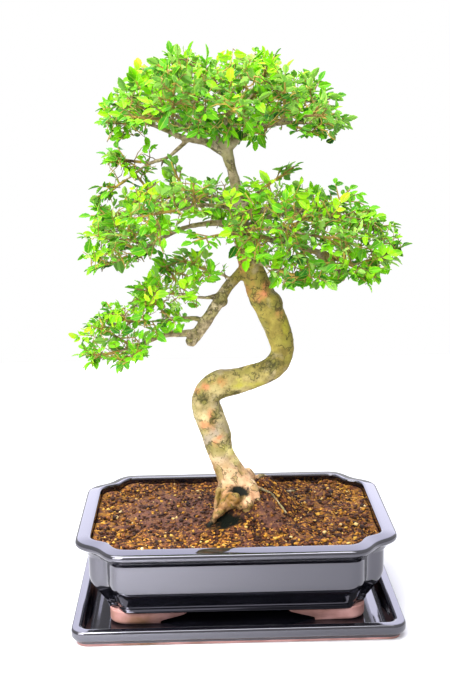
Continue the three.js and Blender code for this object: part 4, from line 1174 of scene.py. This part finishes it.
def side_twig(mount, order):
    """Foot, direction and reach of a side twig, on the left for odd orders."""
    heading, left, upper = spray_frame(mount)
    number, length = mount["number"], mount["length"]
    at = 0.14 + 0.13 * order + 0.03 * draw(number, 10, order)
    side = 1 if order % 2 else -1
    angle = 0.75 + 0.3 * draw(number, 11, order)
    rise = 0.5 * (draw(number, 12, order) - 0.3)
    direction = unit(heading * np.cos(angle) + left * side * np.sin(angle) + upper * rise)
    reach = length * (0.62 - 0.3 * at) * (0.8 + 0.4 * draw(number, 13, order))
    return main_twig(mount, at), direction, reach


def leaf_on(mount, twig, order, base, direction, angle):
    """Base, heading, normal and length of a leaf that turns off its twig by an angle."""
    upper = spray_frame(mount)[2]
    number = mount["number"]
    side = 1 if order % 2 else -1
    tilt = np.array([draw(number, 20 + axis, twig, order) - 0.5 for axis in range(3)])
    normal = unit(upper + 1.1 * tilt)
    sideways = unit(np.cross(normal, direction))
    heading = unit(direction * math.cos(angle) + sideways * side * math.sin(angle))
    length = LEAF_LENGTH * (0.8 + 0.5 * draw(number, 23, twig, order))
    return base, heading, square_to(normal, heading), length


def spray_parts(mount):
    """Twig paths, their radii and the leaves that a spray shares with its solid, with more
    side twigs and leaves further along."""
    t = np.linspace(0, 1, 6)[:, None]
    paths = [main_twig(mount, t[:, 0]) - mount["heading"] * (1 - t) * 1.5]
    radii = [np.linspace(*MAIN_TWIG_RADII, 6)]
    end = unit(main_twig(mount, 1.0) - main_twig(mount, 0.8))
    grown = [leaf_on(mount, 0, leaf, main_twig(mount, at), end, angle) for leaf, (at, angle)
             in enumerate(((1.0, 0.15), (0.75, 0.9), (0.6, 0.9), (0.9, 0.8)))]
    for order in range(1, 5):
        foot, direction, reach = side_twig(mount, order)
        sag = UP * 0.03 * reach * t ** 2
        paths.append(foot + direction * reach * t - sag * (order > 2))
        radii.append(np.linspace(*SIDE_TWIG_RADII, 6))
        grown += [leaf_on(mount, order, leaf, foot + direction * reach * at, direction, angle)
                  for leaf, (at, angle)
                  in enumerate(((1, 0.15), (0.62, 0.9), (0.84, 0.9), (0.42, 0.9)))]
    return paths, radii, grown


# Shoots that fill the pads

def seen_on_front_plane(points):
    """Where the line of sight from the camera through each point meets the plane y = 0."""
    eye = np.array(CAMERA_PLACE)
    share = -eye[1] / (points[..., 1] - eye[1])
    return np.stack([eye[0] + (points[..., 0] - eye[0]) * share,
                     eye[2] + (points[..., 2] - eye[2]) * share], -1)


def inside(outline, points):
    """Depth of each flat point inside an outline, below zero outside: the distance to the
    nearest edge, signed by how often a level ray crosses the edges."""
    a = np.array(outline, float)
    b = np.roll(a, -1, axis=0)
    p = points[:, None]
    edge = b - a
    t = np.clip(np.sum((p - a) * edge, -1) / np.sum(edge ** 2, -1), 0, 1)
    far = np.linalg.norm(p - a - edge * t[..., None], axis=-1).min(1)
    rises = (a[:, 1] > p[..., 1]) != (b[:, 1] > p[..., 1])
    cross = a[:, 0] + (p[..., 1] - a[:, 1]) * edge[:, 0] / np.where(edge[:, 1] == 0, 1, edge[:, 1])
    odd = (rises & (p[..., 0] < cross)).sum(1) % 2 == 1
    return np.where(odd, far, -far)


def shoot_places(pad, seed):
    """Places for shoots, spaced evenly inside a pad: random points that lie inside its
    outline as seen from the camera and inside an ellipse front to back, each kept if it is
    further than the spacing from all that were kept before."""
    rng = np.random.default_rng(seed)
    outline = np.array(pad["outline"], float)
    low, high = outline.min(0), outline.max(0)
    depth = pad["half_depth"]
    tries = rng.uniform([low[0], -depth, low[1] - 20], [high[0], depth, high[1] + 20],
                        (SHOOT_TRIES, 3))
    centre = (low + high) / 2
    half = (high - low) / 2
    plan = ((tries[:, 0] - centre[0]) / half[0]) ** 2 + (tries[:, 1] / depth) ** 2
    crown = ((tries[:, 2] - centre[1]) / (half[1] * 1.15)) ** 2 + (tries[:, 1] / depth) ** 2
    tries = tries[(plan < 0.97) & (crown < 1)]
    tries = tries[inside(outline, seen_on_front_plane(tries)) > 6]
    kept = np.empty((0, 3))
    for point in tries:
        if not len(kept) or np.min(np.sum((kept - point) ** 2, 1)) > pad["spacing"] ** 2:
            kept = np.vstack([kept, point])
    return kept


def grow_shoots(places, wood, owners):
    """Joins each place to the nearest wood, the nearest first, and lets later ones branch
    off earlier ones. Returns the foot, the place and the owner of each twig."""
    nodes, owner = wood.copy(), owners.copy()
    left = np.arange(len(places))
    far = np.linalg.norm(places[:, None] - nodes[None], axis=-1)
    nearest, distance = far.argmin(1), far.min(1)
    twigs = []
    while len(left):
        pick = left[distance[left].argmin()]
        left = left[left != pick]
        if distance[pick] > TWIG_REACH:
            continue
        foot, tip = nodes[nearest[pick]], places[pick]
        twigs.append((foot, tip, owner[nearest[pick]]))
        first = len(nodes)
        new = foot + (tip - foot) * np.array([[0.5], [1.0]])
        nodes = np.vstack([nodes, new])
        owner = np.concatenate([owner, [owner[nearest[pick]]] * 2])
        gap = np.linalg.norm(places[:, None] - new[None], axis=-1)
        closer = gap.min(1) < distance
        nearest = np.where(closer, first + gap.argmin(1), nearest)
        distance = np.minimum(distance, gap.min(1))
    return twigs


def shoot_parts(twigs, pad, seed):
    """Twig paths, radii and leaves of the shoots. Each path bows upwards by a sine and kinks
    at random from its foot to its place, and runs on as a shoot whose direction mixes the
    twig's own, the way out of the pad, a little upwards and chance. Its leaves turn off it in
    two loose rows, with one at its tip. Some leaves and some whole shoots are left out."""
    rng = np.random.default_rng(seed)
    count, rows = len(twigs), SHOOT_LEAVES
    foot, tip = (np.array([twig[end] for twig in twigs]) for end in (0, 1))
    across, up = np.array(pad["outline"], float).T
    centre = np.array([across.mean(), 0, (up.min() + up.mean()) / 2])
    half = np.array([np.ptp(across) / 2, pad["half_depth"], np.ptp(up) / 2])
    out = unit((tip - centre) / half / half * half.mean())
    step = unit(tip - foot + 1e-6)
    ahead = unit(0.5 * step + 0.45 * out + 0.15 * UP + 0.5 * rng.normal(size=(count, 3)))
    shoot = rng.uniform(*SHOOT_LENGTHS, count)[:, None]
    tip = tip - ahead * shoot * 0.8
    # Twig from its foot to its place, and on along the shoot
    t = np.linspace(0, 1, 4)[None, :, None]
    far = np.linalg.norm(tip - foot, axis=1)[:, None, None]
    kink = 0.09 * far * rng.normal(size=(count, 4, 3)) * np.sin(np.pi * t)
    stem = foot[:, None] + (tip - foot)[:, None] * t + UP * far * 0.1 * np.sin(np.pi * t) + kink
    run = shoot[:, None] * np.linspace(0.33, 1, 3)[None, :, None]
    paths = np.concatenate([stem, tip[:, None] + ahead[:, None] * run], axis=1)
    radii = np.broadcast_to(np.linspace(*SHOOT_RADII, 7), (count, 7))
    # Leaves in two rows
    at = np.linspace(0.1, 0.9, rows)[None, :] + rng.uniform(-0.06, 0.06, (count, rows))
    base = tip[:, None] + ahead[:, None] * (at * shoot)[..., None]
    normal = unit(0.62 * UP + 0.5 * out + [0, -0.25, 0] + 0.42 * rng.normal(size=(count, 3)))
    normal = square_to(normal, ahead)
    sideways = np.cross(normal, ahead)
    side = np.where(np.arange(rows) % 2, 1.0, -1.0)[None, :, None]
    angle = rng.uniform(0.5, 1.4, (count, rows, 1))
    heading = ahead[:, None] * np.cos(angle) + sideways[:, None] * side * np.sin(angle)
    heading = heading + 0.35 * rng.normal(size=heading.shape)
    face = normal[:, None] + 0.55 * rng.normal(size=heading.shape)
    base = base + unit(heading) * PETIOLE
    # Leaf at the tip
    base = np.concatenate([base, (tip + ahead * shoot)[:, None]], 1)
    heading = unit(np.concatenate([heading, ahead[:, None]], 1))
    face = np.concatenate([face, normal[:, None]], 1)
    face = square_to(face, heading)
    # Size, colour, and the leaves that are there. Leaves higher in a pad get a lighter tone,
    # painted light
    grown = rng.random((count, rows + 1)) ** 2.0
    length = SMALLEST_LEAF + (LARGEST_LEAF - SMALLEST_LEAF) * grown
    length = length * np.where(rng.random((count, 1)) < 0.3, 0.75, 1.0)
    light = np.clip(0.5 + pad["lighter"] + 0.22 * (tip[:, 2] - centre[2]) / half[2], 0, 1)
    tone = np.clip(light[:, None] + 0.2 * rng.normal(size=(count, 1))
                   + 0.14 * rng.normal(size=(count, rows + 1)) - 0.05, 0, 1)
    kept = rng.random((count, rows + 1)) < 0.9
    kept &= rng.random((count, 1)) > 0.06
    return paths, radii, kept, base, heading, face, length, tone


def bare_twigs(wood, pad, seed):
    """Fine bare twigs: kinked paths that leave random points of the wood, turn outwards and
    stay inside the pad's outline."""
    rng = np.random.default_rng(seed)
    count = pad["bare_twigs"] * 3
    foot = wood[rng.integers(0, len(wood), count)]
    ahead = unit(rng.normal(size=(count, 3)) + [0, -0.2, 0.1])
    reach = rng.uniform(*BARE_TWIG_LENGTHS, count)[:, None, None]
    t = np.linspace(0, 1, 7)[None, :, None]
    wander = np.cumsum(rng.normal(size=(count, 7, 3)), axis=1) * 0.045
    paths = foot[:, None] + reach * (ahead[:, None] * t + (wander - wander[:, :1]))
    flat = seen_on_front_plane(paths.reshape(-1, 3))
    clear = (inside(np.array(pad["outline"], float), flat) > 1).reshape(count, 7).all(1)
    paths = paths[clear][:pad["bare_twigs"]]
    return paths, np.broadcast_to(np.linspace(*BARE_TWIG_RADII, 7), (len(paths), 7))


def limb_wood(names, mounts):
    """Points along the named limbs every few millimetres."""
    found = []
    for name, points, _, _, _ in LIMBS:
        if name in names:
            path = limb_path(name, points, mounts)
            count = int(step_lengths(path).sum() / 4)
            found.append(catmull(path, np.linspace(0.12, 1, count)))
    return np.vstack(found)


def pad_of(limb):
    """Pad that a limb belongs to, by its name."""
    return {"top": "top", "und": "under", "low": "lower"}.get(limb[:3], "middle")


def leafy_piece(name, skins, blades):
    """Mesh of twigs and leaves, from tubes and from the leaves' bases, headings, faces,
    lengths and tones."""
    stems, stem_faces = joined(skins)
    blade_points, blade_faces, sides, tones, maps = leaves(*blades)
    points, faces = joined([(stems, stem_faces), (blade_points, blade_faces)])
    return mesh_object(name, points, faces, [TWIG, LEAF, LEAF_BACK],
                       np.concatenate([np.zeros(face_count(stem_faces), int), sides + 1]),
                       {"tone": np.concatenate([np.zeros(len(stems)), tones])},
                       np.vstack([np.zeros((len(stems), 2)), maps]), flat_slots=(1, 2))


def make_foliage(mounts):
    """One piece for each spray, and one for each pad's shoots that grow straight from its
    limbs, whose owner is -1. A shoot that branches off a spray's twigs belongs to it."""
    held = {mount["name"]: spray_parts(mount) for mount in mounts}
    for seed, (pad_name, pad) in enumerate(PADS.items()):
        own = [mount for mount in mounts if pad_of(mount["limb"]) == pad_name]
        limbs = [limb[0] for limb in LIMBS if pad_of(limb[0]) == pad_name and limb[0] != "cut_stub"]
        wood = [limb_wood(limbs, mounts)]
        owners = [np.full(len(wood[0]), -1)]
        for index, mount in enumerate(own):
            for path in held[mount["name"]][0]:
                wood.append(path[1:])
                owners.append(np.full(len(path) - 1, index))
        wood = np.vstack(wood)
        twigs = grow_shoots(shoot_places(pad, 100 + seed), wood, np.concatenate(owners))
        owner = np.array([twig[2] for twig in twigs])
        paths, radii, kept, *blades = shoot_parts(twigs, pad, 200 + seed)
        for index in range(-1, len(own)):
            mine = owner == index
            leafy = kept & mine[:, None]
            taken = [numbers[leafy] for numbers in blades]
            skins = [tubes(paths[mine], radii[mine], 4)] if mine.any() else []
            if index < 0:
                skins.append(tubes(*bare_twigs(wood, pad, 300 + seed), 4))
                place(leafy_piece(f"{pad_name}_pad_shoots", skins, taken), slot="foliage")
                continue
            mount = own[index]
            twig_paths, twig_radii, grown = held[mount["name"]]
            skins.append(tubes(np.array(twig_paths), np.array(twig_radii), 5))
            base, heading, face, length = (np.array(numbers) for numbers in zip(*grown))
            shade = 0.25 + 0.5 * draw(mount["number"], 40, np.arange(len(grown)))
            taken = [np.concatenate(both) for both in
                     zip(taken, (base, heading, face, 0.66 * length, shade))]
            piece = leafy_piece(mount["name"] + "_leafy", skins, taken)
            place(piece, mount["name"], slot="foliage")


# Studio

def make_camera():
    """Camera that looks along +Y, pitched down, turned to the right and rolled."""
    data = bpy.data.cameras.new("photo_camera")
    data.lens = CAMERA_LENS
    data.sensor_width = 36
    data.clip_end = 20
    camera = bpy.data.objects.new("photo_camera", data)
    turn = Matrix.Rotation(-CAMERA_TURN, 4, "Z")
    pitch = Matrix.Rotation(math.pi / 2 - CAMERA_PITCH, 4, "X")
    roll = Matrix.Rotation(CAMERA_ROLL, 4, "Z")
    camera.matrix_world = Matrix.Translation([c * MM for c in CAMERA_PLACE]) @ turn @ pitch @ roll
    bpy.context.scene.collection.objects.link(camera)
    bpy.context.scene.camera = camera


def area_light(name, place_m, target_m, size_m, power, colour="#FFFFFF", spread=180):
    """Rectangular softbox that faces a point and lights a cone of spread degrees."""
    data = bpy.data.lights.new(name, "AREA")
    data.shape = "RECTANGLE"
    data.size, data.size_y = size_m
    data.energy = power
    data.color = linear(colour)[:3]
    data.spread = math.radians(spread)
    light = bpy.data.objects.new(name, data)
    light.location = place_m
    light.rotation_euler = (Vector(target_m) - Vector(place_m)).to_track_quat("-Z", "Y").to_euler()
    bpy.context.scene.collection.objects.link(light)


def make_studio():
    """Pale floor, white surroundings, a softbox overhead, one at the front left, one with a
    grid that lights the floor on the left of the pot, and one behind."""
    corners = [(x * FLOOR_HALF, y * FLOOR_HALF, 0) for x, y in ((-1, -1), (1, -1), (1, 1), (-1, 1))]
    floor = mesh_object("studio_floor", corners, [[(0, 1, 2, 3)]], [PAPER])
    world = bpy.data.worlds.new("white_studio")
    world.use_nodes = True
    feed(world.node_tree.nodes["Background"], {"Color": "#FFFFFF", "Strength": 1.0})
    bpy.context.scene.world = world
    area_light("overhead_softbox", (-0.2, -0.1, 1.5), (0, 0, 0.2), (1.4, 1.2), 50)
    area_light("front_left_softbox", (-1.0, -1.3, 1.0), (0, 0, 0.3), (1.2, 1.2), 42)
    area_light("gridded_softbox", (-0.3, -0.38, 0.5), (-0.16, -0.28, 0), (0.2, 0.2), 1.6,
               spread=50)
    area_light("rear_softbox", (0.2, 1.8, 1.3), (0, 0, 0.2), (2.6, 1.8), 46, "#E4E4FF")
    bpy.context.scene.view_settings.view_transform = "Standard"


make_camera()
make_studio()
for half in ("left", "right"):
    node_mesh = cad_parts[f"drainage_mesh_{half}"].data
    node_mesh.materials.clear()
    node_mesh.materials.append(PLASTIC)
make_tray()
make_pot()
make_soil()
make_grit()
MOUNTS = spray_mounts()
make_wood(MOUNTS)
make_foliage(MOUNTS)
